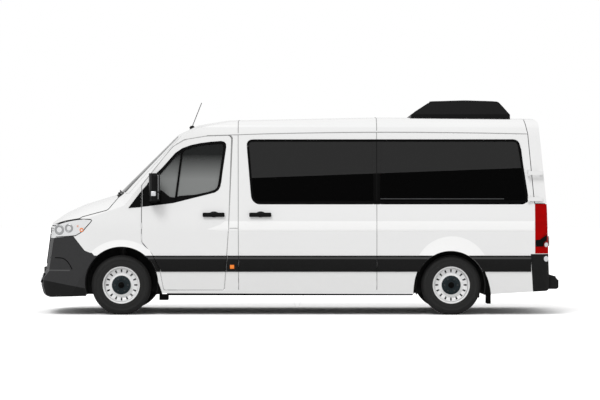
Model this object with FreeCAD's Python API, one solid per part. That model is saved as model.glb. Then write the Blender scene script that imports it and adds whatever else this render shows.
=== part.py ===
import FreeCAD, Part
import os
from math import atan2, cos, hypot, pi, radians, sin, tan
from FreeCAD import Placement, Rotation, Vector

# Long-distance minibus, in millimetres.
# Front is -X, the left side of the vehicle is -Y, up is +Z and the ground is z = 0.

doc = FreeCAD.newDocument("minibus")
sheet = doc.addObject("Spreadsheet::Sheet", "Sizes")

SIZES = [
    ("front_tip", 2916, "bumper face ahead of the origin"),
    ("rear_tip", 2916, "step edge behind the origin"),
    ("rear_face", 2826, "foot of the rear doors behind the origin"),
    ("half_width", 1010, "half of the body width at the waist"),
    ("sill_half_width", 968, "half of the body width at the sills"),
    ("gutter_half_width", 882, "half of the body width at the gutter"),
    ("roof_height", 2212, "top of the roof panel"),
    ("sill_height", 240, "underside of the sills"),
    ("door_foot", 281, "lower edge of the side doors"),
    ("front_axle", 1949, "front axle ahead of the origin"),
    ("wheelbase", 3665, "distance between the axles"),
    ("half_track", 860, "wheel centre plane from the middle"),
    ("kingpin", 790, "steering axis from the middle"),
    ("tyre_radius", 330, "outer radius of a tyre"),
    ("tyre_width", 214, "width of a tyre"),
    ("bead_radius", 203, "radius of the rim under the tyre"),
    ("flange_radius", 218, "outer radius of the rim flange"),
    ("rim_width", 184, "distance between the rim flanges"),
    ("slot_ring", 158, "radius of the ring of wheel slots"),
    ("slot_count", 16, "number of wheel slots"),
    ("slot_width", 20, "width of a wheel slot"),
    ("hub_cover_radius", 107, "radius of the hub cover"),
    ("stub_radius", 28, "radius of the stub axles"),
    ("hub_bore", 28.3, "radius of the bore in the wheel hub"),
    ("kingpin_radius", 10, "radius of the steering pins"),
    ("front_arch", 408, "radius of the front wheel arch"),
    ("rear_arch", 388, "radius of the rear wheel arch"),
    ("wall", 65, "thickness of body walls and doors"),
    ("lip", 15, "depth of the outer lip of a door"),
    ("glass", 8, "thickness of the glass"),
    ("trim_depth", 40, "depth of lamps, grille and cowl"),
    ("bonnet_thickness", 40, "thickness of the bonnet"),
    ("bonnet_axis", 1955, "bonnet hinge ahead of the origin"),
    ("bonnet_axis_height", 1330, "height of the bonnet hinge"),
    ("front_door_axis", 1720, "front door hinge ahead of the origin"),
    ("rear_door_axis", 2575, "rear door hinge behind the origin"),
    ("rear_door_axis_side", 995, "rear door hinge from the middle"),
    ("pin_clearance", 0.3, "running clearance round a pin"),
    ("panel_gap", 8, "gap round a moving panel"),
    ("floor_foot", 400, "underside of the floor"),
    ("floor_top", 460, "top of the floor"),
    ("rail_offset", 420, "chassis rail from the middle"),
    ("rail_width", 80, "width of a chassis rail"),
    ("rail_foot", 300, "underside of the chassis rails"),
    ("window_foot", 1226, "lower edge of the side windows"),
    ("window_top", 1946, "upper edge of the side windows"),
    ("seat_width", 440, "width of a seat"),
    ("seat_pitch", 770, "distance between two seat rows"),
    ("unit_height", 2398, "top of the roof air unit"),
    ("unit_half_width", 620, "half of the width of the roof air unit"),
    ("steering_wheel_radius", 195, "radius of the steering wheel"),
    ("aerial_radius", 4, "radius of the aerial rod"),
]
for row, (alias, value, note) in enumerate(SIZES, 1):
    sheet.set("A%d" % row, note)
    sheet.set("B%d" % row, str(value))
    sheet.setAlias("B%d" % row, alias)
doc.recompute()


def size(name):
    return float(getattr(sheet, name))


X, Y, Z = Vector(1, 0, 0), Vector(0, 1, 0), Vector(0, 0, 1)
FRONT = -size("front_axle")
REAR = FRONT + size("wheelbase")
GAP = size("panel_gap")
WALL = size("wall")


# Closed outlines are lists of corners (u, v, radius), always anticlockwise or always clockwise.

def area(corners):
    total = 0.0
    for i, (u, v, r) in enumerate(corners):
        un, vn = corners[(i + 1) % len(corners)][:2]
        total += u * vn - un * v
    return total / 2


def inset(corners, depth):
    """Move every edge of an outline inwards by depth, or outwards where depth is negative."""
    turn = 1.0 if area(corners) > 0 else -1.0
    count = len(corners)
    lines = []
    for i in range(count):
        u0, v0 = corners[i][:2]
        u1, v1 = corners[(i + 1) % count][:2]
        run = hypot(u1 - u0, v1 - v0)
        du, dv = (u1 - u0) / run, (v1 - v0) / run
        lines.append((u0 - turn * dv * depth, v0 + turn * du * depth, du, dv))
    moved = []
    for i in range(count):
        ua, va, dua, dva = lines[i - 1]
        ub, vb, dub, dvb = lines[i]
        cross = dua * dvb - dva * dub
        if abs(cross) < 1e-6:
            point = (ub, vb)
        else:
            t = ((ub - ua) * dvb - (vb - va) * dub) / cross
            point = (ua + t * dua, va + t * dva)
        radius = corners[i][2]
        if radius > 0:
            radius = max(radius - turn * depth * (1 if cross > 0 else -1), 16.0)
        moved.append((point[0], point[1], radius))
    return moved


def place_point(plane, u, v, w):
    return {"xz": Vector(u, w, v), "yz": Vector(w, u, v), "xy": Vector(u, v, w)}[plane]


def outline(corners, plane, w):
    """A closed wire through the corners, each rounded by its radius where that fits."""
    count = len(corners)
    joints = []
    for i in range(count):
        u, v, radius = corners[i]
        ua, va = corners[i - 1][:2]
        ub, vb = corners[(i + 1) % count][:2]
        la, lb = hypot(ua - u, va - v), hypot(ub - u, vb - v)
        da, db = ((ua - u) / la, (va - v) / la), ((ub - u) / lb, (vb - v) / lb)
        half = atan2(abs(da[0] * db[1] - da[1] * db[0]), da[0] * db[0] + da[1] * db[1]) / 2
        reach = radius / tan(half) if radius > 0 else 0.0
        room = 0.48 * min(la, lb)
        if reach > room:
            reach, radius = room, room * tan(half)
        if reach < 0.01:
            joints.append((place_point(plane, u, v, w),))
            continue
        start = (u + da[0] * reach, v + da[1] * reach)
        end = (u + db[0] * reach, v + db[1] * reach)
        bu, bv = da[0] + db[0], da[1] + db[1]
        bisector = hypot(bu, bv)
        lead = radius / sin(half) - radius
        middle = (u + bu / bisector * lead, v + bv / bisector * lead)
        joints.append(tuple(place_point(plane, p[0], p[1], w) for p in (start, middle, end)))
    edges = []
    for i in range(count):
        here, after = joints[i], joints[(i + 1) % count]
        if len(here) == 3:
            edges.append(Part.Arc(*here).toShape())
        if (after[0] - here[-1]).Length > 0.005:
            edges.append(Part.makeLine(here[-1], after[0]))
    return Part.Wire(edges)


NORMAL = {"xz": Y, "yz": X, "xy": Z}


def prism(corners, plane, low, high):
    full = [c if len(c) == 3 else (c[0], c[1], 0.0) for c in corners]
    return Part.Face(outline(full, plane, low)).extrude(NORMAL[plane] * (high - low))


def box(x0, x1, y0, y1, z0, z1):
    return Part.makeBox(x1 - x0, y1 - y0, z1 - z0, Vector(x0, y0, z0))


def rod(start, end, radius):
    start, end = Vector(*start), Vector(*end)
    return Part.makeCylinder(radius, (end - start).Length, start, end - start)


def mirrored(shape):
    return shape.mirror(Vector(0, 0, 0), Y)


def both(shape):
    return Part.makeCompound([shape, mirrored(shape)])


def solids(shape, least=2000.0):
    """The solids of a boolean result without slivers."""
    found = [s for s in shape.Solids if s.Volume > least]
    if not found:
        raise ValueError("empty result")
    return found[0] if len(found) == 1 else Part.makeCompound(found)


# The outer body, a loft of side views across the width, trimmed by a front view and a plan.

SILL = size("sill_height")
HALF = size("half_width")
ROOF = size("roof_height")


def side_view(y):
    """The side view at distance y from the middle, set back and dropped towards the sides."""
    back = 132.0 * (y / 1010.0) ** 2
    drop = 112.0 * (abs(y) / 960.0) ** 6
    crown = 42.0 * (y / 880.0) ** 2
    nose = -size("front_tip")
    tail = size("rear_face") - 26.0 * (y / 1010.0) ** 2
    return [
        (nose + 32 + back, SILL - 46, 60), (nose + back, 318, 50), (nose + 2 + back, 405, 40),
        (nose + 56 + back, 482, 40), (nose + 128 + back, 1016 - 0.3 * drop, 55),
        (nose + 301 + back, 1134 - 0.8 * drop, 260), (nose + 506 + back, 1228 - drop, 300),
        (-2040 + back, 1340 - drop, 70), (-1352 + back, 2022 - 0.6 * crown, 170),
        (-1130 + 0.8 * back, 2128 - crown, 320), (-780 + 0.5 * back, 2184 - crown, 600),
        (900, ROOF + 6 - crown, 4000), (tail - 118, ROOF - 9 - crown, 58),
        (tail - 84, 1820, 900), (tail - 24, 1180, 1500),
        (tail, 440, 60), (tail, 268, 40), (2150, SILL - 12, 60), (-1480, SILL, 60),
    ]


def hull(depth, cache={}):
    """The outer body moved inwards by depth; below the sills the inner ones stay open."""
    if depth in cache:
        return cache[depth]
    wires = []
    for y in (-1030.0, -860.0, -620.0, -320.0, 0.0, 320.0, 620.0, 860.0, 1030.0):
        view = side_view(y)
        if depth:
            view = inset(view, depth)
            foot = (0, 16, 17, 18)
            view = [(u, -60.0, 16.0) if i in foot else (u, v, r) for i, (u, v, r) in enumerate(view)]
            view[17] = (view[17][0], -64.0, 16.0)
        wires.append(outline(view, "xz", y))
    shape = Part.makeLoft(wires, True, False)
    sill, gutter = size("sill_half_width"), size("gutter_half_width")
    half = [(sill - 10, 120, 0), (sill, SILL, 40), (HALF, 560, 400), (HALF, 1000, 1400),
            (gutter, 2010, 500), (gutter - 26, ROOF - 92, 100), (gutter - 200, ROOF + 8, 0),
            (gutter - 330, ROOF + 180, 0)]
    front = half + [(-y, z, r) for y, z, r in reversed(half)]
    plan = [(-2980, 620, 0), (-2790, 885, 250), (-2330, HALF, 800), (2735, HALF, 180),
            (2850, 905, 130)]
    plan = plan + [(x, -y, r) for x, y, r in reversed(plan)]
    if depth:
        front = inset(front, depth)
        front[0] = (front[0][0], -60.0, 0)
        front[-1] = (front[-1][0], -60.0, 0)
        plan = inset(plan, depth)
    shape = shape.common(prism(front, "yz", -3100, 3100))
    shape = shape.common(prism(plan, "xy", -100, 2600))
    cache[depth] = shape.Solids[0]
    return cache[depth]


def skin(outer, inner, *cuts):
    """The part of the body between two depths that lies in every one of the cuts."""
    shape = hull(outer)
    for cut in cuts:
        shape = shape.common(cut)
    return shape.cut(hull(inner))


def side_prism(corners, low=-1100.0, high=-60.0):
    return prism(corners, "xz", low, high)


FOOT = size("door_foot")
LIP = size("lip")
TRIM = size("trim_depth")
SCREEN_FOOT = 1362

# Outlines seen from the side.

FRONT_DOOR = [
    (-1716, 812, 60), (-1716, 1440, 60), (-1384, 1862, 150), (-1244, 1944, 200),
    (-1000, 1984, 300), (-728, 1992, 40), (-752, 1200, 500), (-760, 962, 200), (-790, 501, 200),
    (-808, FOOT, 25), (-1474, FOOT, 25), (-1514, 500, 120), (-1600, 679, 120),
]
FRONT_DOOR_HOLE = [
    (-1724, 806, 60), (-1724, 1443, 60), (-1391, 1869, 150), (-1248, 1952, 200),
    (-1002, 1992, 300), (-711, 2000, 40), (-742, 1200, 500), (-752, 962, 200), (-782, 501, 200),
    (-800, FOOT - GAP, 25), (-1480, FOOT - GAP, 25), (-1521, 498, 120),
    (-1606, 675, 120),
]
FRONT_WINDOW = [
    (-1664, 1250, 25), (-1373, 1252, 300), (-890, 1372, 60), (-838, 1462, 60), (-790, 1886, 50),
    (-842, 1918, 40), (-1074, 1904, 200), (-1268, 1848, 160), (-1560, 1574, 100),
    (-1664, 1452, 30),
]
SLIDING_DOOR = [
    (-656, 1994, 30), (-648, 1100, 800), (-640, FOOT, 25), (888, FOOT, 25), (888, 2022, 30),
    (0, 2012, 2000),
]
SLIDING_WINDOW = [
    (-548, size("window_top"), 80), (-500, size("window_foot"), 100),
    (862, size("window_foot"), 25), (862, size("window_top"), 25),
]
QUARTER_WINDOW = [
    (918, size("window_top"), 25), (918, size("window_foot"), 25),
    (2566, size("window_foot"), 60), (2498, 1850, 120), (2440, size("window_top"), 60),
]
GUTTER = [
    (-1002, 1992), (-711, 2000), (0, 2020), (890, 2030), (1700, 2026), (2562, 2011),
]
REAR_SEAM = [(2542, 2400), (2542, 2166), (2577, 2008), (2640, 1269), (2648, 1238)]
BONNET = [
    (-3000, 1022, 0), (-2722, 1003, 100), (-2575, 1047, 200), (-2410, 1074, 60),
    (-2384, 1092, 60), (-2098, 1168, 80), (-1994, 1308, 60), (-1940, 1352, 0),
    (-2060, 1480, 0), (-2400, 1500, 0), (-3000, 1500, 0),
]
HEADLAMP = [
    (-3000, 990), (-2722, 985), (-2575, 1036), (-2402, 1062), (-2290, 1046), (-2384, 932),
    (-2478, 872), (-2714, 852), (-3000, 846),
]
BUMPER = [
    (-3000, 846), (-2714, 852), (-2478, 872), (-2354, 716), (-2290, 690), (-2150, 688),
    (-2150, 100), (-3000, 100),
]
BONNET_REAR = [(-2062, 0), (-2042, 420), (-1996, 800), (-1962, 1100)]
parts = {}


def arch(x, z, radius, low, high):
    return rod((x, low, z), (x, high, z), radius)


FRONT_ARCH = arch(FRONT + 4, 350, size("front_arch"), -1100, -545)
FRONT_ARCH_FOOT = box(FRONT - 392, FRONT + 424, -1100, -545, 0, 300)
REAR_ARCH = arch(REAR - 8, 322, size("rear_arch"), -1100, -690)
REAR_ARCH_FOOT = box(REAR - 408, REAR + 372, -1100, -690, 0, 300)

# The lower outer edge of a rear door is bevelled, so that it swings clear of the lamp.


def rear_limit(grow):
    """Everything behind the rear seam above the lamps, and between the lamps below it."""
    seam = [(x - grow, z) for x, z in REAR_SEAM]
    seam[-1] = (seam[-1][0], seam[-1][1] - grow)
    upper = prism(seam + [(3100, 1238 - grow), (3100, 2400)], "xz", -1100, 0)
    shift = grow / cos(atan2(215, 148))
    corner = prism([(3100, -805 - shift), (2848, -805 - shift), (2700, -590 - shift),
                    (2700, 0), (3100, 0)], "xy", 552 - grow, 1238 - grow)
    return upper.fuse(corner)


# Front doors with a separate outer lip, window pane and mirror.

door_skin = skin(0, LIP, side_prism(FRONT_DOOR))
door_core = skin(LIP, WALL, side_prism(inset(FRONT_DOOR, 14)))
door = door_skin.fuse(door_core).cut(side_prism(FRONT_WINDOW))
parts["front_door_left"] = solids(door.removeSplitter())
pane = skin(size("glass"), LIP, side_prism(FRONT_WINDOW))
parts["door_glass_left"] = solids(pane)

housing = prism([(-1636, -1060), (-1622, -1110), (-1600, -1146), (-1568, -1167), (-1530, -1160),
                 (-1516, -1140), (-1512, -1060), (-1528, -1044), (-1606, -1042)], "xy", 1262, 1571)
housing = housing.common(prism([(-1200, 1270), (-1190, 1262), (-1060, 1262), (-1044, 1286),
                                (-1044, 1540), (-1066, 1571), (-1130, 1571), (-1167, 1534),
                                (-1167, 1290)], "yz", -1700, -1400))
arm = prism([(-1612, -1080), (-1548, -1080), (-1560, -930), (-1606, -930)], "xy", 1243, 1290)
arm = arm.cut(hull(0))
parts["mirror_left"] = solids(housing.fuse(arm).removeSplitter())



def hinge_eye(x, y, z, half_height, radius):
    """The eye of a moving panel round a vertical pin."""
    return rod((x, y, z - half_height), (x, y, z + half_height), radius)


play = size("pin_clearance")
door_x, door_y = -size("front_door_axis"), -HALF - 2
door_pins = []
door = parts["front_door_left"]
for z in (860, 990):
    eye = hinge_eye(door_x, door_y, z, 22, 3.7).fuse(box(door_x, door_x + 8, door_y - 1.5,
                                                         door_y + 9, z - 22, z + 22))
    eye = eye.cut(rod((door_x, door_y, z - 40), (door_x, door_y, z + 40), 2 + play))
    door = door.fuse(eye)
    door_pins.append(rod((door_x, door_y, z - 34), (door_x, door_y, z + 34), 2))
    for low in (z - 34, z + 24):
        door_pins.append(box(door_x - 8, door_x + 1, door_y - 2, door_y + 9, low, low + 10))
parts["front_door_left"] = solids(door.removeSplitter())

# Sliding door and side windows.

sliding = skin(0, WALL, side_prism(SLIDING_DOOR)).cut(side_prism(SLIDING_WINDOW))
parts["sliding_door_left"] = solids(sliding)
panes = [skin(0, size("glass"), side_prism(w)).Solids[0] for w in (SLIDING_WINDOW, QUARTER_WINDOW)]
parts["side_windows"] = Part.makeCompound(panes + [mirrored(p) for p in panes])

# Side frame: pillar behind the front door, rear quarter, and the sills under both.

FRAME = [(-1462, 100), (-1462, 520), (-1010, 1980)] + GUTTER[1:] + REAR_SEAM[2:] + [
    (2940, 1238), (2940, 100)]
frame = skin(0, WALL, side_prism(FRAME))
frame = frame.cut(side_prism(FRONT_DOOR_HOLE)).cut(side_prism(SLIDING_DOOR))
frame = frame.cut(side_prism(QUARTER_WINDOW))
frame = frame.cut(REAR_ARCH).cut(REAR_ARCH_FOOT)
frame = frame.cut(rear_limit(GAP))
LAMP = side_prism([(2643, 681), (2643, 1230), (3000, 1230), (3000, 681)])
lamp = skin(0, TRIM, LAMP).cut(rear_limit(GAP))
frame = frame.cut(skin(0, TRIM, LAMP))
REAR_CORNER = side_prism([(2594, 676), (3000, 676), (3000, 100), (2633, 100)])
frame = frame.cut(REAR_CORNER)
axis_x, axis_y = size("rear_door_axis"), -size("rear_door_axis_side")
REAR_HINGES = (1285, 1575)
for z in REAR_HINGES:
    frame = frame.fuse(rod((axis_x, axis_y, z - 36), (axis_x, axis_y, z + 36), 6))
    for low in (z - 36, z + 24):
        bracket = box(axis_x - 11, axis_x + 11, axis_y - 8, -880, low, low + 12)
        frame = frame.fuse(bracket.cut(hull(LIP)))
parts["side_frame_left"] = solids(frame.removeSplitter())
parts["tail_lamps"] = both(lamp.Solids[0])

# Rear bumper: two corners joined by a step under the doors.

corner = skin(0, WALL, REAR_CORNER).cut(rear_limit(GAP))
corner = corner.cut(box(2500, 3000, -760, 100, 540, 700))
step = prism([(2755, 300), (2755, 420), (2880, 420), (2900, 392), (size("rear_tip"), 384),
              (size("rear_tip"), 300), (2890, 285), (2770, 285)], "xz", -905, 905)
step = step.makeFillet(24, [e for e in step.Edges if abs(e.BoundBox.YMax - e.BoundBox.YMin) < 1
                            and e.BoundBox.XMax > 2910 and e.BoundBox.ZMax - e.BoundBox.ZMin > 60])
parts["rear_bumper"] = solids(corner.fuse(mirrored(corner)).fuse(step).removeSplitter())

# Rear doors.

rear = skin(0, WALL, box(2450, 3000, -1100, -4, 540, 2400))
rear = rear.common(rear_limit(0).cut(box(2400, 3200, -4, 10, 0, 2500)))
REAR_WINDOW = [(-806, 1270, 60), (-752, 1905, 80), (-96, 1905, 60), (-96, 1270, 60)]
rear = rear.cut(prism(REAR_WINDOW, "yz", 2600, 3000))
for z in REAR_HINGES:
    strap = hinge_eye(axis_x, axis_y, z, 22, 12)
    strap = strap.fuse(box(axis_x, axis_x + 150, axis_y - 11, axis_y - 3, z - 22, z + 22))
    strap = strap.fuse(box(axis_x + 122, axis_x + 150, axis_y - 11, -880, z - 22, z + 22))
    strap = strap.cut(rod((axis_x, axis_y, z - 40), (axis_x, axis_y, z + 40), 6 + play))
    rear = rear.fuse(strap.cut(hull(LIP)))
parts["rear_door_left"] = solids(rear.removeSplitter())
parts["rear_glass_left"] = solids(skin(size("glass"), LIP, prism(REAR_WINDOW, "yz", 2600, 3000)))

# Roof panel with the front pillars.

SCREEN = [(-862, SCREEN_FOOT, 40), (-744, 2012, 60), (744, 2012, 60), (862, SCREEN_FOOT, 40)]
roof = skin(0, WALL, prism([(-1356, 1992), (-1002, 1992)] + GUTTER[1:] + [
    (2577 - GAP, 2010), (2542 - GAP, 2166), (2542 - GAP, 2400), (-1356, 2400)], "xz", -1100, 1100))
pillar = skin(0, WALL, side_prism([
    (-2100, 1344.3), (-1782.4, 1344.3), (-1726.4, 1438.3), (-1722, 1443), (-1390, 1868), (-1248, 1951), (-1002, 1992),
    (-1002, 2040), (-1356, 2200), (-2100, 2200)], -1100, 0))
pillar = pillar.cut(side_prism(FRONT_DOOR_HOLE))
screen_hole = prism(SCREEN, "yz", -2200, -1340)
pillar = pillar.cut(screen_hole).cut(side_prism(inset(BONNET, -GAP)))
roof = roof.fuse(pillar).fuse(mirrored(pillar)).cut(screen_hole)
parts["roof_panel"] = solids(roof.removeSplitter())
parts["windscreen"] = solids(skin(0, size("glass"), screen_hole))

# Nose: bonnet, bumper, grille, lamps and wings.

rear_edge = [(x, y) for x, y in BONNET_REAR] + [(x, -y) for x, y in reversed(BONNET_REAR)]
ahead = prism([(-3200, -1100)] + [(x, -y) for x, y in reversed(BONNET_REAR)]
              + BONNET_REAR[1:] + [(-3200, 1100)], "xy", 900, 1600)
behind = prism([(-1500, -1100)] + [(x + GAP, -y) for x, y in reversed(BONNET_REAR)]
               + [(x + GAP, y) for x, y in BONNET_REAR[1:]] + [(-1500, 1100)], "xy", 900, 1600)
bonnet = skin(0, size("bonnet_thickness"), prism(BONNET, "xz", -1100, 1100), ahead)
BONNET_HOLE = prism(inset(BONNET, -GAP), "xz", -1100, 1100)

cowl = skin(0, TRIM, behind, box(-2200, -1780, -862, 862, 1200, 1344))
cowl = cowl.cut(BONNET_HOLE.common(ahead))
bulkhead = prism([(-1530, 400), (-1480, 400), (-1480, 462), (-1640, 800), (-1700, 1180),
                  (-1890, 1270), (-1975, 1285), (-1975, 1252), (-1740, 1150), (-1680, 790)],
                 "xz", -1100, 1100).common(hull(WALL))
hinge_x, hinge_z, hinge_y = -size("bonnet_axis"), size("bonnet_axis_height"), 640
for side in (-1, 1):
    y = side * hinge_y
    cowl = cowl.cut(box(hinge_x - 90, hinge_x + 26, y - 30, y + 30, 1240, 1400))
    for lug in (y - 23, y + 15):
        bulkhead = bulkhead.fuse(box(hinge_x - 10, hinge_x + 12, lug, lug + 8, 1270, hinge_z + 9))
    bulkhead = bulkhead.fuse(rod((hinge_x, y - 20, hinge_z), (hinge_x, y + 20, hinge_z), 4.5))
    eye = rod((hinge_x, y - 12, hinge_z), (hinge_x, y + 12, hinge_z), 9)
    arm = rod((hinge_x - 6, y, hinge_z - 2), (hinge_x - 82, y, hinge_z - 34), 6)
    eye = eye.fuse(arm).cut(rod((hinge_x, y - 30, hinge_z), (hinge_x, y + 30, hinge_z), 4.8))
    bonnet = bonnet.fuse(eye)
parts["bonnet"] = solids(bonnet.removeSplitter())

lamp_side = box(-3100, -2200, -1100, -470, 700, 1100)
headlamp = skin(0, TRIM, side_prism(HEADLAMP), lamp_side).cut(BONNET_HOLE)
parts["headlamps"] = both(headlamp.Solids[0])
grille_area = prism([(-470, 990), (-470, 620), (-380, 545), (380, 545), (470, 620), (470, 990)],
                    "yz", -3100, -2600)
grille = skin(0, TRIM, grille_area).cut(BONNET_HOLE)
parts["grille"] = solids(grille)
bumper = skin(0, WALL, prism(BUMPER, "xz", -1100, 1100), box(-3100, -2150, -1100, 1100, 150, 900))
bumper = bumper.cut(grille_area).cut(FRONT_ARCH).cut(FRONT_ARCH_FOOT)
bumper = bumper.cut(mirrored(FRONT_ARCH)).cut(mirrored(FRONT_ARCH_FOOT))
parts["front_bumper"] = solids(bumper)
WING = [(-2410, 1060), (-2386, 1084), (-2103, 1161), (-2004, 1304), (-1950, 1344), (-1782, 1344),
        (-1726, 1438), (-1726, 830), (-1440, 830), (-1440, 150), (-2150, 150),
        (-2150, 688), (-2290, 690), (-2354, 716), (-2478, 872), (-2384, 932), (-2290, 1046)]
wing = skin(0, WALL, side_prism(WING, -1100, -640)).cut(side_prism(FRONT_DOOR_HOLE))
wing = wing.cut(FRONT_ARCH).cut(FRONT_ARCH_FOOT).cut(BONNET_HOLE)
wing = wing.cut(box(-1462, -1400, -1100, 0, 0, 300)).cut(headlamp)
wing = wing.cut(box(hinge_x - 90, hinge_x + 26, -670, -600, 1240, 1400))
wing_bracket = box(-2262, -2186, -970, -930, 880, 944)
wing = max(wing.Solids, key=lambda s: s.Volume).fuse([wing_bracket] + door_pins).removeSplitter()
parts["front_wings"] = both(wing.Solids[0])
parts["cowl"] = solids(cowl.fuse(bulkhead).cut(both(wing)))

# Floor, chassis rails and wheel tubs.

inner = hull(WALL)
floor = inner.common(box(-1530, 2752, -1000, 1000, size("floor_foot"), size("floor_top")))
floor = floor.cut(bulkhead)
for side in (-1, 1):
    y = sorted((side * 915, side * 1000))
    floor = floor.cut(box(-1530, -780, y[0], y[1], 350, 500))
for shape in (FRONT_ARCH, REAR_ARCH):
    floor = floor.cut(shape).cut(mirrored(shape))
tub = arch(REAR - 8, 322, size("rear_arch") + 12, -1000, -678).cut(REAR_ARCH)
tub = tub.common(inner).common(box(REAR - 500, REAR + 500, -1000, 0, size("floor_foot"), 900))
rail_side, rail_half = size("rail_offset"), size("rail_width") / 2
rail = box(-2740, 2752, -rail_side - rail_half, -rail_side + rail_half,
           size("rail_foot"), size("floor_foot"))
rail = rail.cut(box(REAR - 190, REAR + 190, -600, 0, 0, 500)).common(inner)
floor = floor.fuse(tub).fuse(mirrored(tub)).fuse(rail).fuse(mirrored(rail))
for x in (-1380, -500, 300, 1150, 2420):
    floor = floor.fuse(box(x, x + 60, -rail_side, rail_side, 340, size("floor_foot")))
    for side in (-1, 1):
        y = sorted((side * rail_side, side * (905 if x < -1000 else 945)))
        if x != 1150:
            floor = floor.fuse(box(x, x + 60, y[0], y[1], 350, size("floor_foot")).common(inner))
aisle = box(-450, 2480, 40, 420, size("floor_top") - 10, size("floor_top") + 5)
parts["floor"] = solids(floor.fuse(aisle).removeSplitter())

# Engine as one plain block on the rails, with the gearbox and propeller shaft behind it.

engine = box(-2560, -1900, -300, 300, 430, 1010).fuse(box(-2260, -2160, -450, 450, 400, 440))
parts["engine"] = solids(engine)
gearbox = prism([(-1900, 400), (-1900, 600), (-1790, 560), (-1600, 395), (-1300, 395),
                 (-1250, 330), (-1300, 270), (-1700, 270)], "xz", -110, 110)
gearbox = gearbox.cut(bulkhead)
shaft = rod((-1260, 0, 325), (REAR - 135.2, 0, 325), 32)
driveline = gearbox.fuse(shaft).cut(parts["floor"])
parts["driveline"] = solids(driveline.removeSplitter())

# Front suspension, left and right, on a cross member under the rails.

king = size("kingpin")
half = [box(FRONT - 60, FRONT + 60, -500, 0, 200, size("rail_foot")),
        box(FRONT - 30, FRONT + 30, -king - 22, -480, 200, 230),
        box(FRONT - 30, FRONT + 30, -king - 22, -440, 430, 460),
        box(FRONT - 110, FRONT + 110, -540, -480, 205, 235),
        rod((FRONT, -620, 228), (FRONT, -620, 800), 42),
        rod((FRONT, -king, 215), (FRONT, -king, 445), size("kingpin_radius")),
        box(FRONT - 70, FRONT + 70, -rail_side - rail_half - 16, -rail_side - rail_half, 320, 800),
        box(FRONT - 70, FRONT + 70, -672, -rail_side - rail_half, 790, 806)]
suspension = half[0].fuse([mirrored(half[0])] + half[1:] + [mirrored(s) for s in half[1:]])
parts["front_suspension"] = solids(suspension.cut(parts["floor"]).removeSplitter())

# Rear axle with its leaf springs.

axle = rod((REAR, -745, 330), (REAR, 745, 330), 46)
axle = axle.fuse(rod((REAR, -895, 330), (REAR, 895, 330), size("stub_radius")))
axle = axle.fuse(Part.makeSphere(135, Vector(REAR, 0, 330)).common(
    box(REAR - 200, REAR + 200, -200, 200, 200, 392)))
for side in (-1, 1):
    y = side * 590
    leaf = prism([(REAR - 620, 392), (REAR - 620, 372), (REAR - 300, 300), (REAR, 268),
                  (REAR + 300, 300), (REAR + 620, 372), (REAR + 620, 392), (REAR + 300, 322),
                  (REAR, 290), (REAR - 300, 322)], "xz", y - 35, y + 35)
    axle = axle.fuse(leaf)
    for end in (-620, 600):
        axle = axle.fuse(box(REAR + end, REAR + end + 20, y - 35, y + 35, 375,
                             size("floor_foot")))
parts["rear_axle"] = solids(axle.removeSplitter())

# Exhaust and fuel tank under the floor.

pipe = rod((-1250, 220, 300), (300, 220, 300), 28).fuse(rod((300, 220, 300), (820, 220, 300), 85))
pipe = pipe.fuse(rod((820, 220, 300), (1250, 220, 300), 28))
pipe = pipe.fuse(rod((-1200, 220, 300), (-1200, 220, size("floor_foot")), 10))
pipe = pipe.fuse(rod((560, 220, 300), (560, 220, size("floor_foot")), 20))
pipe = pipe.fuse(rod((1200, 220, 300), (1200, 220, size("floor_foot")), 10))
parts["exhaust"] = solids(pipe.cut(parts["floor"]).removeSplitter())
tank = prism([(-880, 278), (-852, 250), (-498, 250), (-470, 278), (-470, size("floor_foot") - 28),
              (-498, size("floor_foot")), (-852, size("floor_foot")), (-880, size("floor_foot") - 28)],
             "yz", -420, 280)
parts["fuel_tank"] = solids(tank)

# Cab fittings.

dash = prism([(-1760, 1194, 0), (-1420, 1196, 40), (-1372, 1120, 50), (-1450, 850, 40),
              (-1655, 812, 0)], "xz", -900, 900)
dash = dash.fuse(box(-1640, -1430, -150, 150, size("floor_top"), 900)).cut(bulkhead)
parts["dashboard"] = solids(dash.removeSplitter())


def turned_in_flats(section, flats, middle, axis):
    """A closed section (radius, height) carried round the axis in straight steps."""
    turn = Rotation(Z, axis)
    rings = []
    for step in range(flats):
        angle = radians(360.0 * step / flats)
        rings.append([middle + turn.multVec(Vector(r * cos(angle), r * sin(angle), h))
                      for r, h in section])
    faces = []
    count = len(section)
    for here, after in zip(rings, rings[1:] + rings[:1]):
        for k in range(count):
            corners = [here[k], after[k], after[(k + 1) % count], here[(k + 1) % count]]
            faces.append(Part.Face(Part.makePolygon(corners + corners[:1])))
    return solids(Part.Solid(Part.makeShell(faces)))


ring_radius = size("steering_wheel_radius")
slope = Vector(-cos(radians(35)), 0, -sin(radians(35)))
centre = Vector(-1270, -400, 1085)
section = [(ring_radius + 15 * cos(radians(60 * k + 30)), 15 * sin(radians(60 * k + 30)))
           for k in range(6)]
ring = turned_in_flats(section, 32, centre, slope)
hub = Part.makeCylinder(62, 34, centre - slope * 4, slope)
column = Part.makeCylinder(34, 150, centre + slope * 20, slope)
wheel = hub.fuse(column)
for turn in (0, 120, 240):
    spoke = Part.makeBox(ring_radius, 26, 12, Vector(0, -13, 0))
    spoke.Placement = Placement(centre, Rotation(Z, slope).multiply(Rotation(Z, turn + 30)))
    wheel = wheel.fuse(spoke)
parts["steering_wheel"] = solids(wheel.fuse(ring).cut(parts["dashboard"]).removeSplitter())


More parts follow.
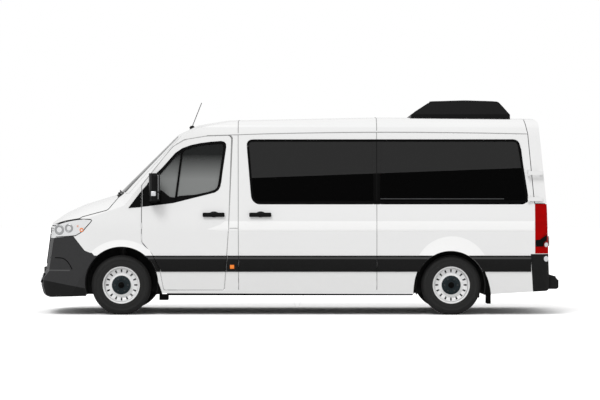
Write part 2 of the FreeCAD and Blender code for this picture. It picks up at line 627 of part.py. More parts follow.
def seat(x, y, floor_level, width):
    """One seat facing forwards, its cushion over the floor on a pedestal."""
    half_seat = width / 2
    low = floor_level
    cushion = prism([(x - 250, low + 322), (x - 262, low + 400), (x - 235, low + 424),
                     (x + 225, low + 405), (x + 225, low + 305)], "xz", y - half_seat, y + half_seat)
    rest = prism([(x + 150, low + 345), (x + 258, low + 985), (x + 280, low + 1010),
                  (x + 345, low + 1008), (x + 262, low + 345)], "xz",
                 y - half_seat + 8, y + half_seat - 8)
    head = prism([(x + 282, low + 1045), (x + 300, low + 1178), (x + 318, low + 1190),
                  (x + 366, low + 1185), (x + 350, low + 1045)], "xz", y - 120, y + 120)
    stays = box(x + 314, x + 328, y - 56, y - 44, low + 990, low + 1060).fuse(
        box(x + 314, x + 328, y + 44, y + 56, low + 990, low + 1060))
    inward = 45 if y < 0 else -45
    foot = box(x - 170, x + 150, y + inward - 75, y + inward + 75, low, low + 320)
    return cushion.fuse([rest, head, stays, foot]).removeSplitter()


level = size("floor_top")
places = [seat(-1010, y, level, size("seat_width") + 40) for y in (-400, 400)]
parts["front_seats"] = Part.makeCompound(places)
pitch = size("seat_pitch")
rows = [seat(-160 + pitch * row, y, level, size("seat_width"))
        for row in range(4) for y in (-640, -190, 600)]
parts["passenger_seats"] = Part.makeCompound(rows)

# Fittings on the outside.

front_flap = box(FRONT + 425, FRONT + 433, -962, -800, 161, size("floor_foot")).common(inner)
rear_flap = box(REAR + 396, REAR + 404, -962, -740, 127, size("floor_foot")).common(inner)
flaps = [front_flap, rear_flap]
parts["mud_flaps"] = Part.makeCompound(flaps + [mirrored(f) for f in flaps])
unit_top, unit_half = size("unit_height"), size("unit_half_width")
unit = prism([(1283, 2160, 0), (1283, 2236, 20), (1516, unit_top - 12, 90),
              (1900, unit_top, 1500), (2270, unit_top - 12, 60), (2330, 2316, 40),
              (2398, 2234, 20), (2398, 2160, 0)], "xz", -unit_half, unit_half)
unit = unit.common(prism([(-unit_half, 2100, 0), (-unit_half, 2240, 30),
                          (-unit_half + 90, unit_top + 6, 80), (unit_half - 90, unit_top + 6, 80),
                          (unit_half, 2240, 30), (unit_half, 2100, 0)], "yz", 1200, 2500))
parts["roof_air_unit"] = solids(unit.cut(hull(0)))
base = Part.makeCone(34, 20, 60, Vector(-1203, 0, 2068), Z)
aerial = base.fuse(rod((-1203, 0, 2118), (-1094, 0, 2392), size("aerial_radius"))).cut(hull(0))
parts["aerial"] = solids(aerial)

# Steering knuckles.

play = size("pin_clearance")
knuckle = rod((FRONT, -king, 230 + play), (FRONT, -king, 430 - play), 24)
knuckle = knuckle.fuse(rod((FRONT, -king + 18, 330), (FRONT, -895, 330), size("stub_radius")))
knuckle = knuckle.fuse(box(FRONT, FRONT + 120, -king + 4, -king + 20, 300, 330))
knuckle = knuckle.cut(rod((FRONT, -king, 200), (FRONT, -king, 460), size("kingpin_radius") + play))
parts["knuckle_left"] = solids(knuckle.removeSplitter())

for name in ("front_door", "door_glass", "mirror", "sliding_door", "side_frame", "rear_door",
             "rear_glass", "knuckle"):
    parts[name + "_right"] = mirrored(parts[name + "_left"])

for name, shape in parts.items():
    feature = doc.addObject("Part::Feature", name)
    feature.Label = name
    feature.Shape = shape
doc.recompute()


# Wheels: a tyre turned in flats and a revolved rim with a ring of slots.

def body_plane(body, role):
    return [f for f in body.Origin.OriginFeatures if f.Role == role][0]


def profile(body, name, points, plane="XY_Plane"):
    """A closed sketch through the points on one of the planes of the body."""
    sketch = body.newObject("Sketcher::SketchObject", name)
    sketch.AttachmentSupport = [(body_plane(body, plane), "")]
    sketch.MapMode = "FlatFace"
    for i, (u, v) in enumerate(points):
        un, vn = points[(i + 1) % len(points)]
        sketch.addGeometry(Part.LineSegment(Vector(u, v, 0), Vector(un, vn, 0)), False)
    return sketch


def revolved(body, name, points):
    """A full turn about the y axis of the body, from a profile in its xy plane."""
    sketch = profile(body, name + "_profile", points)
    turn = body.newObject("PartDesign::Revolution", name)
    turn.Profile = sketch
    turn.ReferenceAxis = (sketch, ["V_Axis"])
    turn.Angle = 360
    return turn


def place_wheel(body, x, side):
    turn = Rotation() if side < 0 else Rotation(Z, 180)
    body.Placement = Placement(Vector(x, side * size("half_track"), size("tyre_radius")), turn)


def make_tyre(name, x, side):
    """Turned in flats, as the four tyres together have to stay light."""
    tyre = doc.addObject("Part::Feature", name)
    r, bead, w = size("tyre_radius"), size("bead_radius"), size("tyre_width") / 2
    rim = size("rim_width") / 2
    flats = 48
    seat_radius = bead / cos(pi / flats) + 0.05
    section = [
        (seat_radius, -rim), (bead + 20, -rim), (bead + 34, -w + 4), (bead + 60, -w), (r - 38, -w + 3),
        (r - 12, -w + 18), (r, -w + 34), (r, w - 34), (r - 12, w - 18), (r - 38, w - 3),
        (bead + 60, w), (bead + 34, w - 4), (bead + 20, rim), (seat_radius, rim)]
    tyre.Shape = turned_in_flats(section, flats, Vector(0, 0, 0), Vector(0, 1, 0))
    place_wheel(tyre, x, side)
    return tyre


def make_rim(name, x, side):
    """The outer face of the rim points to -y in the body and the disc carries the slots."""
    body = doc.addObject("PartDesign::Body", name)
    bead, flange, w = size("bead_radius"), size("flange_radius"), size("rim_width") / 2
    ring, cover, bore = size("slot_ring"), size("hub_cover_radius"), size("hub_bore")
    wheel = revolved(body, name + "_disc", [
        (bore, -22), (bore, -46), (0, -46), (0, -78), (34, -78), (cover, -64),
        (cover + 6, -44), (ring - 26, -40), (ring + 6, -52), (ring + 26, -46), (bead - 12, -30),
        (bead - 14, -w + 10), (bead - 2, -w - 7), (flange, -w - 7), (flange, -w), (bead, -w),
        (bead, w), (flange, w), (flange, w + 7), (bead - 12, w),
        (bead - 12, -18), (ring + 10, -38), (cover, -22)])
    doc.recompute()
    half_slot = size("slot_width") / 2
    slot = profile(body, name + "_slot", [
        (ring - 18, -half_slot * 0.7), (ring + 16, -half_slot), (ring + 16, half_slot),
        (ring - 18, half_slot * 0.7)], "XZ_Plane")
    pocket = body.newObject("PartDesign::Pocket", name + "_slot_cut")
    pocket.Profile = slot
    pocket.Type = 1
    pocket.Midplane = True
    doc.recompute()
    pattern = body.newObject("PartDesign::PolarPattern", name + "_slots")
    pattern.Originals = [pocket]
    pattern.Axis = (slot, ["N_Axis"])
    pattern.Angle = 360
    pattern.Occurrences = int(size("slot_count"))
    body.Tip = pattern
    place_wheel(body, x, side)
    return body


wheels = {}
for name, x, side in (("front_left", FRONT, -1), ("front_right", FRONT, 1),
                      ("rear_left", REAR, -1), ("rear_right", REAR, 1)):
    wheels["tyre_" + name] = make_tyre("tyre_" + name, x, side)
    wheels["rim_" + name] = make_rim("rim_" + name, x, side)
doc.recompute()

# Checks and export.

os.makedirs("parts", exist_ok=True)
for item in doc.Objects:
    if "Invalid" in item.State or "Error" in item.State:
        raise ValueError("%s did not build: %s" % (item.Name, item.State))
broken = []
for name in list(parts) + list(wheels):
    shape = doc.getObject(name).Shape
    if shape.isNull() or not shape.isValid() or not shape.Solids:
        broken.append(name)
        continue
    bounds = shape.optimalBoundingBox(False)
    print("%-20s %d solid(s) %9.0f cm3  x %6.0f %6.0f  y %6.0f %6.0f  z %5.0f %5.0f" % (
        name, len(shape.Solids), shape.Volume / 1000, bounds.XMin, bounds.XMax, bounds.YMin,
        bounds.YMax, bounds.ZMin, bounds.ZMax))
    shape.exportStep("parts/%s.step" % name)
if broken:
    raise ValueError("no valid solid: " + ", ".join(broken))
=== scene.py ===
import math

import bpy
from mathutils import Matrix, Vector


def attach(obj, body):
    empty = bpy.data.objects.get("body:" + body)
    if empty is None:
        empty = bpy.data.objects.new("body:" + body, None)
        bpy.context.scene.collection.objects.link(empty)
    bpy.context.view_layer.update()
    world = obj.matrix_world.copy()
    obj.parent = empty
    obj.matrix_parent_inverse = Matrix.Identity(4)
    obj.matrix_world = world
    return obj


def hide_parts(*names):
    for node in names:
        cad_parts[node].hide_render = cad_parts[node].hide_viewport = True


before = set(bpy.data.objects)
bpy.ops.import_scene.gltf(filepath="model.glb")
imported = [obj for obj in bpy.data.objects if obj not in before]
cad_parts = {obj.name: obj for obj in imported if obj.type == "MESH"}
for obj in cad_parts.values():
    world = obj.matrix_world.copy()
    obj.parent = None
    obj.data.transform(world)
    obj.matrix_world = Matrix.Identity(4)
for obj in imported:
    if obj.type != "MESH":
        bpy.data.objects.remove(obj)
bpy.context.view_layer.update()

# Long-distance minibus. Metres; the front is -X, the vehicle's left side is -Y, the ground z = 0.

bpy.ops.object.select_all(action="DESELECT")
SIDES = (("left", -1), ("right", 1))
HALF_WIDTH = 1.01
FRONT_AXLE, REAR_AXLE = -1.949, 1.716
WHEEL_Z, HALF_TRACK = 0.33, 0.86
FRONT_ARCH = (FRONT_AXLE + 0.004, 0.35)
REAR_ARCH = (REAR_AXLE - 0.008, 0.322)
MOULDING_FOOT, MOULDING_TOP = 0.478, 0.659
SIDE_LEAN, SCREEN_LEAN = 0.12673, 0.1815
# The slanting line above which the privacy glass and its joint carry a painted reflection.
REFLECTION_LINE_Z, REFLECTION_LINE_RISE = 1.538, 0.0373
FAR = 4.0
DOWN, BACKWARD, UPWARD = (0, 0, -1), (1, 0, 0), (0, 0, 1)

# The photographer's pale floor and soft light.
# The vehicle stands on a seamless white sheet and is seen square from its left side, from 27 m.

bpy.ops.object.camera_add(location=(0.0365, -28.0, 1.275), rotation=(math.radians(90), 0, 0))
camera = bpy.context.object
camera.data.lens = 146.1
camera.data.sensor_width = 36
camera.data.clip_end = 400
bpy.context.scene.camera = camera
bpy.context.scene.view_settings.view_transform = "Standard"


def feed(tree, socket, value):
    """Links a socket to another, or gives it a constant, where one number stands for a grey."""
    value = getattr(value, "socket", value)
    if isinstance(value, bpy.types.NodeSocket):
        tree.links.new(value, socket)
        return
    if socket.type == "RGBA":
        value = (value if isinstance(value, tuple) else (value,) * 3) + (1,)
    socket.default_value = value


def add_node(tree, kind, settings=None, inputs=None, output=0):
    """Adds a shader node with its settings and inputs, and gives back one of its outputs."""
    made = tree.nodes.new("ShaderNode" + kind)
    for key, value in (settings or {}).items():
        setattr(made, key, value)
    for key, value in (inputs or {}).items():
        feed(tree, made.inputs[key], value)
    return made.outputs[output]


def seen_directly(tree):
    """1 for rays from the camera and through glass, and 0 for light on a surface."""
    rays = [add_node(tree, "LightPath", output=ray)
            for ray in ("Is Camera Ray", "Is Transmission Ray")]
    return add_node(tree, "Math", {"operation": "MAXIMUM"}, dict(enumerate(rays)))


studio = bpy.data.worlds.new("studio")
studio.use_nodes = True
bpy.context.scene.world = studio
tree = studio.node_tree
shown = tree.nodes["Background"]
feed(tree, shown.inputs["Color"], 1.0)
feed(tree, shown.inputs["Strength"], 1.0)
light = add_node(tree, "Background", None, {"Color": 0.99, "Strength": 0.815})
choice = add_node(tree, "MixShader", None, {0: seen_directly(tree), 1: light, 2: shown.outputs[0]})
feed(tree, tree.nodes["World Output"].inputs["Surface"], choice)

bpy.ops.mesh.primitive_plane_add(size=160)
sheet = bpy.context.object
sheet.name = "studio_floor"
paper = bpy.data.materials.new("studio_paper")
paper.use_nodes = True
tree = paper.node_tree
tree.nodes.remove(tree.nodes["Principled BSDF"])
tone = add_node(tree, "Mix", {"data_type": "RGBA"}, {
    "Factor": seen_directly(tree), 6: 0.7, 7: 1.32}, 2)
matt = add_node(tree, "BsdfDiffuse", None, {"Color": tone})
feed(tree, tree.nodes["Material Output"].inputs["Surface"], matt)
sheet.data.materials.append(paper)

bpy.ops.object.light_add(type="SUN", rotation=(math.radians(42), 0, math.radians(-24)))
lamp = bpy.context.object
lamp.name = "soft_key"
lamp.data.energy = 1.15
lamp.data.angle = math.radians(24)

# Painted body shell: roof, side frames, doors, wings and bonnet.
# Pressed steel in white enamel with a clear coat outside, and grey moulded lining inside.


def operator(operation):
    """A method that joins the sockets it is given in a Math node."""
    return lambda *values: values[0].finish.node(
        "Math", {"operation": operation}, dict(enumerate(values)))


class Shade:
    """A shader socket that takes part in Python expressions."""

    def __init__(self, finish, socket):
        self.finish, self.socket = finish, socket

    def __rsub__(self, other):
        return self.finish.node("Math", {"operation": "SUBTRACT"}, {0: other, 1: self})

    __add__ = __radd__ = operator("ADD")
    __sub__ = operator("SUBTRACT")
    __mul__ = operator("MULTIPLY")
    __lt__ = operator("LESS_THAN")
    __gt__ = operator("GREATER_THAN")
    __abs__ = operator("ABSOLUTE")
    most = operator("MAXIMUM")


class Finish:
    """One material of the vehicle, with its nodes added one at a time."""

    def __init__(self, name, shine=0.5):
        self.material = bpy.data.materials.new(name)
        self.material.use_nodes = True
        self.tree = self.material.node_tree
        self.surface = self.tree.nodes["Principled BSDF"]
        self.surface.inputs["Specular IOR Level"].default_value = shine
        self.where = self.node("TexCoord", output="Object")

    def node(self, kind, settings=None, inputs=None, output=0):
        return Shade(self, add_node(self.tree, kind, settings, inputs, output))

    def set(self, **values):
        for key, value in values.items():
            feed(self.tree, self.surface.inputs[key.replace("_", " ")], value)

    def mix(self, factor, low, high):
        inputs = {"Factor": factor, 6: low, 7: high}
        return self.node("Mix", {"data_type": "RGBA"}, inputs, output=2)

    def noise(self, scale, detail=3.0):
        inputs = {"Vector": self.where, "Scale": scale, "Detail": detail}
        return self.node("TexNoise", None, inputs)

    def places(self):
        """The x, y and z of the point in the object's own metres."""
        return [self.node("SeparateXYZ", None, {0: self.where}, output=i) for i in range(3)]

    def rough(self, height, depth, strength=0.5):
        self.set(Normal=self.node("Bump", None, {
            "Strength": strength, "Distance": depth, "Height": height}))


def plain(name, dark, pale, grain, roughness, relief=0.0, metallic=0.0, coat=0.0, shine=0.5,
          blotch=None, areas=()):
    """A finish that drifts between two near colours, with a grain in its gloss and relief.

    Each of the areas is a mask, worked out from x, y and z, and the colour inside it.
    """
    made = Finish(name, shine)
    drift = made.noise(blotch) if blotch else made.noise(grain * 0.12, 4)
    fine = made.noise(grain, 5)
    colour = made.mix(drift, dark, pale)
    for mask, inside in areas:
        colour = made.mix(mask(*made.places()), colour, inside)
    made.set(Base_Color=colour, Metallic=metallic, Coat_Weight=coat)
    made.set(Roughness=roughness * 0.85 + fine * (roughness * 0.3))
    if relief:
        made.rough(fine, relief)
    return made


def side_at(z):
    """How far the flat of a body side stands from the middle at height z."""
    if z < 0.534:
        return 0.968 + 0.13125 * (z - 0.24)
    if z < 0.586:
        return HALF_WIDTH - 0.4 + math.sqrt(0.16 - (0.586 - z) ** 2)
    if z < 0.9117:
        return HALF_WIDTH
    if z < 1.0876:
        return HALF_WIDTH - 1.4 + math.sqrt(1.96 - (z - 0.9117) ** 2)
    return HALF_WIDTH - SIDE_LEAN * (z - 1.0)


def coat(finish, *names):
    """Gives CAD nodes a finish."""
    for name in names:
        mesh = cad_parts[name].data
        mesh.materials.clear()
        mesh.materials.append(finish.material)


enamel = Finish("white_enamel")
x, y, z = enamel.places()
DEPTH_OF_PAINT = 0.057
waist = HALF_WIDTH - DEPTH_OF_PAINT
within = (abs(y) < waist) * (abs(y) < (waist + SIDE_LEAN - z * SIDE_LEAN))
within = within * ((z + y * y * 0.054) < 2.215 - DEPTH_OF_PAINT)
for x_part, z_part, bow, reach in (
        (-0.704, 0.71, 0.113, 2.378), (-0.431, 0.902, 0.1, 2.404),
        (-0.158, 0.9875, 0.062, 2.277)):
    within = within * ((x * x_part + z * z_part + y * y * bow) < reach - DEPTH_OF_PAINT)
within = within * ((x + z * 0.065) < 2.822) * (x > -2.0)
drift = enamel.noise(0.9, 4)
dust = enamel.noise(14, 6) * (z < 0.5)
skin = enamel.mix(drift, (0.8, 0.8, 0.798), (0.83, 0.83, 0.828))
skin = enamel.mix(dust * 0.12, skin, (0.7, 0.69, 0.66))
lining = enamel.mix(enamel.noise(220, 2), (0.2, 0.205, 0.21), (0.27, 0.275, 0.28))
enamel.set(Base_Color=enamel.mix(within, skin, lining), Coat_Roughness=0.08)
enamel.set(Roughness=0.24 + within * 0.5 + drift * 0.05, Coat_Weight=0.5 - within * 0.5)
enamel.rough(enamel.noise(900, 2), 0.0004, 0.12)
coat(enamel, "roof_panel", "front_wings", "bonnet")
for side, _ in SIDES:
    coat(enamel, "front_door_" + side, "sliding_door_" + side, "side_frame_" + side,
         "rear_door_" + side)

# Black plastic: the bumpers, cowl, grille, mirror shells and mud flaps.
# Grained polypropylene, moulded in its own colour and left unpainted; the front bumper's colour
# also carries painted shade along its foot and a painted highlight along its lip.

bumper_plastic = plain(
    "bumper_plastic", (0.026, 0.026, 0.027), (0.034, 0.034, 0.035), 420, 0.52, 0.0006,
    shine=0.2, blotch=50, areas=(
        # Below a slanting line across its foot the front bumper is painted near black: painted
        # shade under the chin.
        (lambda x, y, z: (z + x * 0.183) < -0.134, 0.004),
        # A narrow band along the front bumper's lip is painted paler: a painted highlight.
        (lambda x, y, z: (z > 0.486) * (z < 0.5) * (x < -2.52), (0.075, 0.075, 0.076))))
dark_plastic = plain("dark_plastic", 0.003, 0.006, 420, 0.42, 0.0005, shine=0.09)
rear_plastic = plain("rear_bumper_plastic", 0.008, 0.012, 420, 0.5, 0.0006, shine=0.1)
coat(bumper_plastic, "front_bumper")
coat(rear_plastic, "rear_bumper")
coat(dark_plastic, "cowl", "grille", "mirror_left", "mirror_right", "mud_flaps")

# Glass: laminated windscreen, toughened door windows and dark privacy windows behind.
# The panes are bonded flush, with a black ceramic border printed round the edge.


def glazing(name, tint, alpha, border=None, painted_reflection=None, fade=None, shine=0.12):
    """Tinted glass; it may have a printed border, a painted reflection that pales its upper part,
    and a fade towards its foot.
    """
    made = Finish(name, shine)
    x, y, z = made.places()
    drift = made.noise(1.3, 3)
    colour = made.mix(drift, tint, tuple(c * 1.25 for c in tint))
    cover = alpha + drift * 0.03
    if painted_reflection:
        colour = made.mix((z - x * REFLECTION_LINE_RISE) > REFLECTION_LINE_Z, colour, painted_reflection)
    if fade:
        down = made.node("MapRange", None, {0: z, 1: fade[0], 2: fade[1], 3: 1.0, 4: 0.0})
        colour = made.mix(down, colour, fade[2])
    if border:
        rim = border(x, y, z)
        colour = made.mix(rim, colour, (0.006, 0.006, 0.007))
        cover = cover.most(rim)
    made.set(Base_Color=colour, Alpha=cover, Roughness=0.03 + drift * 0.02)
    return made


def screen_border(x, y, z):
    return ((abs(y) + z * SCREEN_LEAN) > 1.06).most(z < 1.43).most(z > 1.955)


windscreen_glass = glazing("windscreen_glass", (0.02, 0.025, 0.025), 0.72, screen_border)
door_glass = glazing("door_glass", (0.012, 0.013, 0.013), 0.82,
                     fade=(1.51, 1.78, (0.25, 0.258, 0.254)))
# The privacy windows are painted paler above a slanting line: a painted reflection of the bright
# studio.
privacy_glass = glazing("privacy_glass", (0.0005, 0.0005, 0.0005), 0.95,
                        painted_reflection=0.026, shine=0.03)
rear_glass = glazing("rear_glass", (0.002, 0.002, 0.002), 0.92, shine=0.06)
coat(windscreen_glass, "windscreen")
coat(privacy_glass, "side_windows")
coat(door_glass, "door_glass_left", "door_glass_right")
coat(rear_glass, "rear_glass_left", "rear_glass_right")

# Wheels: pressed steel rims in silver paint with dark hub covers, and road tyres.
# The tyre is black rubber with a ribbed sidewall and a block tread.

rubber = plain("tyre_rubber", 0.008, (0.014, 0.014, 0.0135), 300, 0.72, 0.0008, shine=0.3)
silver = plain("wheel_silver", 0.84, 0.9, 260, 0.34, 0.0002, 0.1, 0.3)
WHEELS = [(axle + "_" + side, x, side, s)
          for axle, x in (("front", FRONT_AXLE), ("rear", REAR_AXLE)) for side, s in SIDES]
for wheel, *_ in WHEELS:
    coat(rubber, "tyre_" + wheel)
    coat(silver, "rim_" + wheel)

# Lamps as moulded: a clear polycarbonate lens over each headlamp and red ones at the rear.
# The red lens is ribbed inside, so that it looks deeper in some places than in others.

lamp_lens = glazing("lamp_lens", (0.76, 0.765, 0.77), 0.88, shine=0.4)
coat(lamp_lens, "headlamps")
red_lens = Finish("tail_lamp_red", 0.04)
red_lens.set(Base_Color=red_lens.mix(red_lens.noise(7, 2), (0.2, 0.0, 0.0), (0.52, 0.0, 0.0)),
             Roughness=0.3 + red_lens.noise(60, 2) * 0.1)
coat(red_lens, "tail_lamps")

# Underbody: chassis, axles, springs, exhaust and tank.
# Steel under dark sealing compound, bare castings, a heat-stained pipe and a plastic tank.

underseal = plain("underseal", 0.018, (0.032, 0.031, 0.03), 160, 0.75, 0.002)
cast_iron = plain("cast_iron", (0.05, 0.05, 0.052), (0.085, 0.083, 0.08), 180, 0.55, 0.001, 0.6)
pipe_steel = plain("exhaust_steel", (0.2, 0.18, 0.16), (0.33, 0.31, 0.29), 90, 0.42, 0.0005, 0.85)
tank_plastic = plain("tank_plastic", 0.012, 0.02, 200, 0.5, 0.0006)
coat(underseal, "floor", "front_suspension")
coat(cast_iron, "rear_axle", "driveline", "knuckle_left", "knuckle_right", "engine")
coat(pipe_steel, "exhaust")
coat(tank_plastic, "fuel_tank")

# Cab, cabin and roof: dashboard, steering wheel, seats, the air unit's cover and the aerial.
# Grained dark plastic in front, dark woven cloth on the seats, black plastic on the roof.

dash_skin = plain("dash_skin", (0.02, 0.02, 0.021), (0.03, 0.03, 0.031), 500, 0.62, 0.0008)
seat_cloth = plain("seat_cloth", (0.035, 0.038, 0.043), (0.06, 0.064, 0.07), 700, 0.9, 0.0012)
coat(dash_skin, "dashboard", "steering_wheel")
coat(seat_cloth, "front_seats", "passenger_seats")
coat(dark_plastic, "roof_air_unit", "aerial")

# Side mouldings: the dark plastic strip along each side, one length per panel.
# Extruded polypropylene with a chamfer along its top, clipped to the panels; a band at the chamfer
# is painted paler as a painted highlight.


def select_only(made):
    bpy.ops.object.select_all(action="DESELECT")
    made.select_set(True)
    bpy.context.view_layer.objects.active = made


def added(name, add, **settings):
    """A primitive made by one of Blender's add operators, named, with its placement applied."""
    bpy.ops.object.select_all(action="DESELECT")
    add(**settings)
    made = bpy.context.object
    made.name = made.data.name = name
    bpy.ops.object.transform_apply(location=True, rotation=True, scale=True)
    return made


def apply(made, kind, **settings):
    """Adds a modifier of that kind to the piece and applies it."""
    select_only(made)
    modifier = made.modifiers.new(kind.lower(), kind)
    for key, value in settings.items():
        setattr(modifier, key, value)
    bpy.ops.object.modifier_apply(modifier=modifier.name)
    return made


def edit(made, *steps):
    """Runs mesh operators, each with its settings, on the whole of a piece."""
    select_only(made)
    bpy.ops.object.mode_set(mode="EDIT")
    bpy.ops.mesh.select_all(action="SELECT")
    for step, settings in steps:
        step(**settings)
    bpy.ops.object.mode_set(mode="OBJECT")
    return made


def tidy_faces(made):
    """Merges doubled points and turns the faces outwards."""
    return edit(made, (bpy.ops.mesh.remove_doubles, {"threshold": 0.00002}),
                (bpy.ops.mesh.normals_make_consistent, {"inside": False}))


PLANES = {"xz": (0, 2, 1), "yz": (1, 2, 0), "xy": (0, 1, 2)}


def plate(name, outline, plane, low, high):
    """A plate cut to an outline in one plane and drawn out from low to high across it."""
    made = added(name, bpy.ops.mesh.primitive_circle_add, vertices=len(outline), fill_type="NGON")
    u, v, w = PLANES[plane]
    for vertex, corner in zip(made.data.vertices, outline):
        vertex.co[u], vertex.co[v], vertex.co[w] = corner[0], corner[1], low
    draw = [0.0, 0.0, 0.0]
    draw[w] = high - low
    edit(made, (bpy.ops.mesh.extrude_region_move, {"TRANSFORM_OT_translate": {"value": draw}}))
    return tidy_faces(made)


def block(name, low, high):
    return added(name, bpy.ops.mesh.primitive_cube_add, size=1,
                 location=[(a + b) / 2 for a, b in zip(low, high)],
                 scale=[abs(b - a) for a, b in zip(low, high)])


def roller(name, radius, centre, length, axis="y", sides=48):
    """A round bar along one axis, centred on a place."""
    turn = {"x": (0, math.radians(90), 0), "y": (math.radians(90), 0, 0), "z": (0, 0, 0)}[axis]
    return added(name, bpy.ops.mesh.primitive_cylinder_add, vertices=sides, radius=radius,
                 depth=length, location=centre, rotation=turn)


def join(name, *made):
    select_only(made[0])
    for piece in made[1:]:
        piece.select_set(True)
    bpy.ops.object.join()
    made[0].name = made[0].data.name = name
    return made[0]


def cut(made, cutter):
    """Takes the cutter out of the piece and throws the cutter away."""
    apply(made, "BOOLEAN", object=cutter, operation="DIFFERENCE", solver="EXACT")
    bpy.data.objects.remove(cutter)
    return made


def trim(made, point, normal):
    """Cuts off what lies on the normal's side of a plane and closes the end."""
    return edit(made, (bpy.ops.mesh.bisect, {
        "plane_co": point, "plane_no": normal, "use_fill": True, "clear_outer": True}))


def inset(made, chosen, *steps):
    """Insets the faces that chosen picks, once for each of the steps."""
    for part in list(made.data.vertices) + list(made.data.edges):
        part.select = False
    for face in made.data.polygons:
        face.select = chosen(face)
    select_only(made)
    bpy.context.tool_settings.mesh_select_mode = (False, False, True)
    bpy.ops.object.mode_set(mode="EDIT")
    for settings in steps:
        bpy.ops.mesh.inset(**settings)
    bpy.ops.object.mode_set(mode="OBJECT")
    return made


def soften(made, width, steps=2, angle=30):
    return apply(made, "BEVEL", width=width, segments=steps, limit_method="ANGLE",
                 angle_limit=math.radians(angle))


def fit(made, finish, body="body", angle=32):
    """Gives a finished piece its material and the CAD body that it moves with."""
    made.data.materials.clear()
    made.data.materials.append(finish.material)
    select_only(made)
    bpy.ops.object.shade_smooth_by_angle(angle=math.radians(angle))
    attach(made, body)
    return made


def soft_block(name, low, high, width, steps, finish, body="body"):
    """A block with rounded edges, ready fitted to its body."""
    return fit(soften(block(name, low, high), width, steps), finish, body)


def strip_along(name, s, profile, low, high):
    """A strip from x low to high; its profile is heights and how far each point stands out."""
    return plate(name, [(s * (side_at(h) + out), h) for h, out in profile], "yz", low, high)


moulding_plastic = plain(
    "moulding_plastic", 0.007, 0.011, 380, 0.4, 0.0004, shine=0.09, blotch=45, areas=(
        # A band at the top chamfer, z 0.62 to 0.641, is painted paler: a painted highlight.
        (lambda x, y, z: (z > 0.62) * (z < 0.641), 0.05),))
MOULDING = [
    (0.659, -0.004), (0.6575, 0.005), (0.648, 0.008), (0.622, 0.015), (0.615, 0.016),
    (0.497, 0.016), (0.484, 0.012), (0.479, 0.004), (0.478, -0.004)]
TRIMS = {"wing": [((-1.606, 0, 0.675), (0.902, 0, 0.433))],
         "front_door": [((-1.599, 0, 0.679), (-0.902, 0, -0.433)),
                        ((-0.785, 0, 0.56), (0.998, 0, -0.065))],
         "pillar": [((-0.776, 0, 0.56), (-0.998, 0, 0.065))]}
ARCH_CUTS = {"wing": (FRONT_ARCH, 0.409), "quarter": (REAR_ARCH, 0.389)}
for side, s in SIDES:
    for part, low, high, body in (
            ("wing", -1.72, -1.52, "body"), ("front_door", -1.64, -0.76, "front_door_" + side),
            ("pillar", -0.795, -0.6465, "body"), ("sliding_door", -0.6425, 0.888, "body"),
            ("quarter", 0.891, 2.5985, "body")):
        strip = strip_along("moulding_%s_%s" % (part, side), s, MOULDING, low, high)
        if part in ARCH_CUTS:
            (x, z), radius = ARCH_CUTS[part]
            cut(strip, roller("arch", radius, (x, s, z), 0.5, sides=128))
        for point, normal in TRIMS.get(part, ()):
            trim(strip, point, normal)
        fit(strip, moulding_plastic, body, 20)

# Pressed creases: the band along the waist and the flares round the wheel arches, in a paler copy
# of the white enamel as a painted highlight.
# They are folds in the same sheet steel as the panels, laid on here as their raised skin.


def bent(made, place):
    """Moves each point of a flat unit grid to what place gives for (u, v), each from 0 to 1."""
    for vertex in made.data.vertices:
        vertex.co = place(vertex.co.x + 0.5, vertex.co.y + 0.5)
    return made


def curved_sheet(name, columns, rows, place, thickness=0.003):
    """A sheet bent so that its point at (u, v), each from 0 to 1, lies where place says."""
    made = added(name, bpy.ops.mesh.primitive_grid_add, x_subdivisions=columns,
                 y_subdivisions=rows, size=1)
    apply(bent(made, place), "SOLIDIFY", thickness=thickness, offset=0)
    return tidy_faces(made)


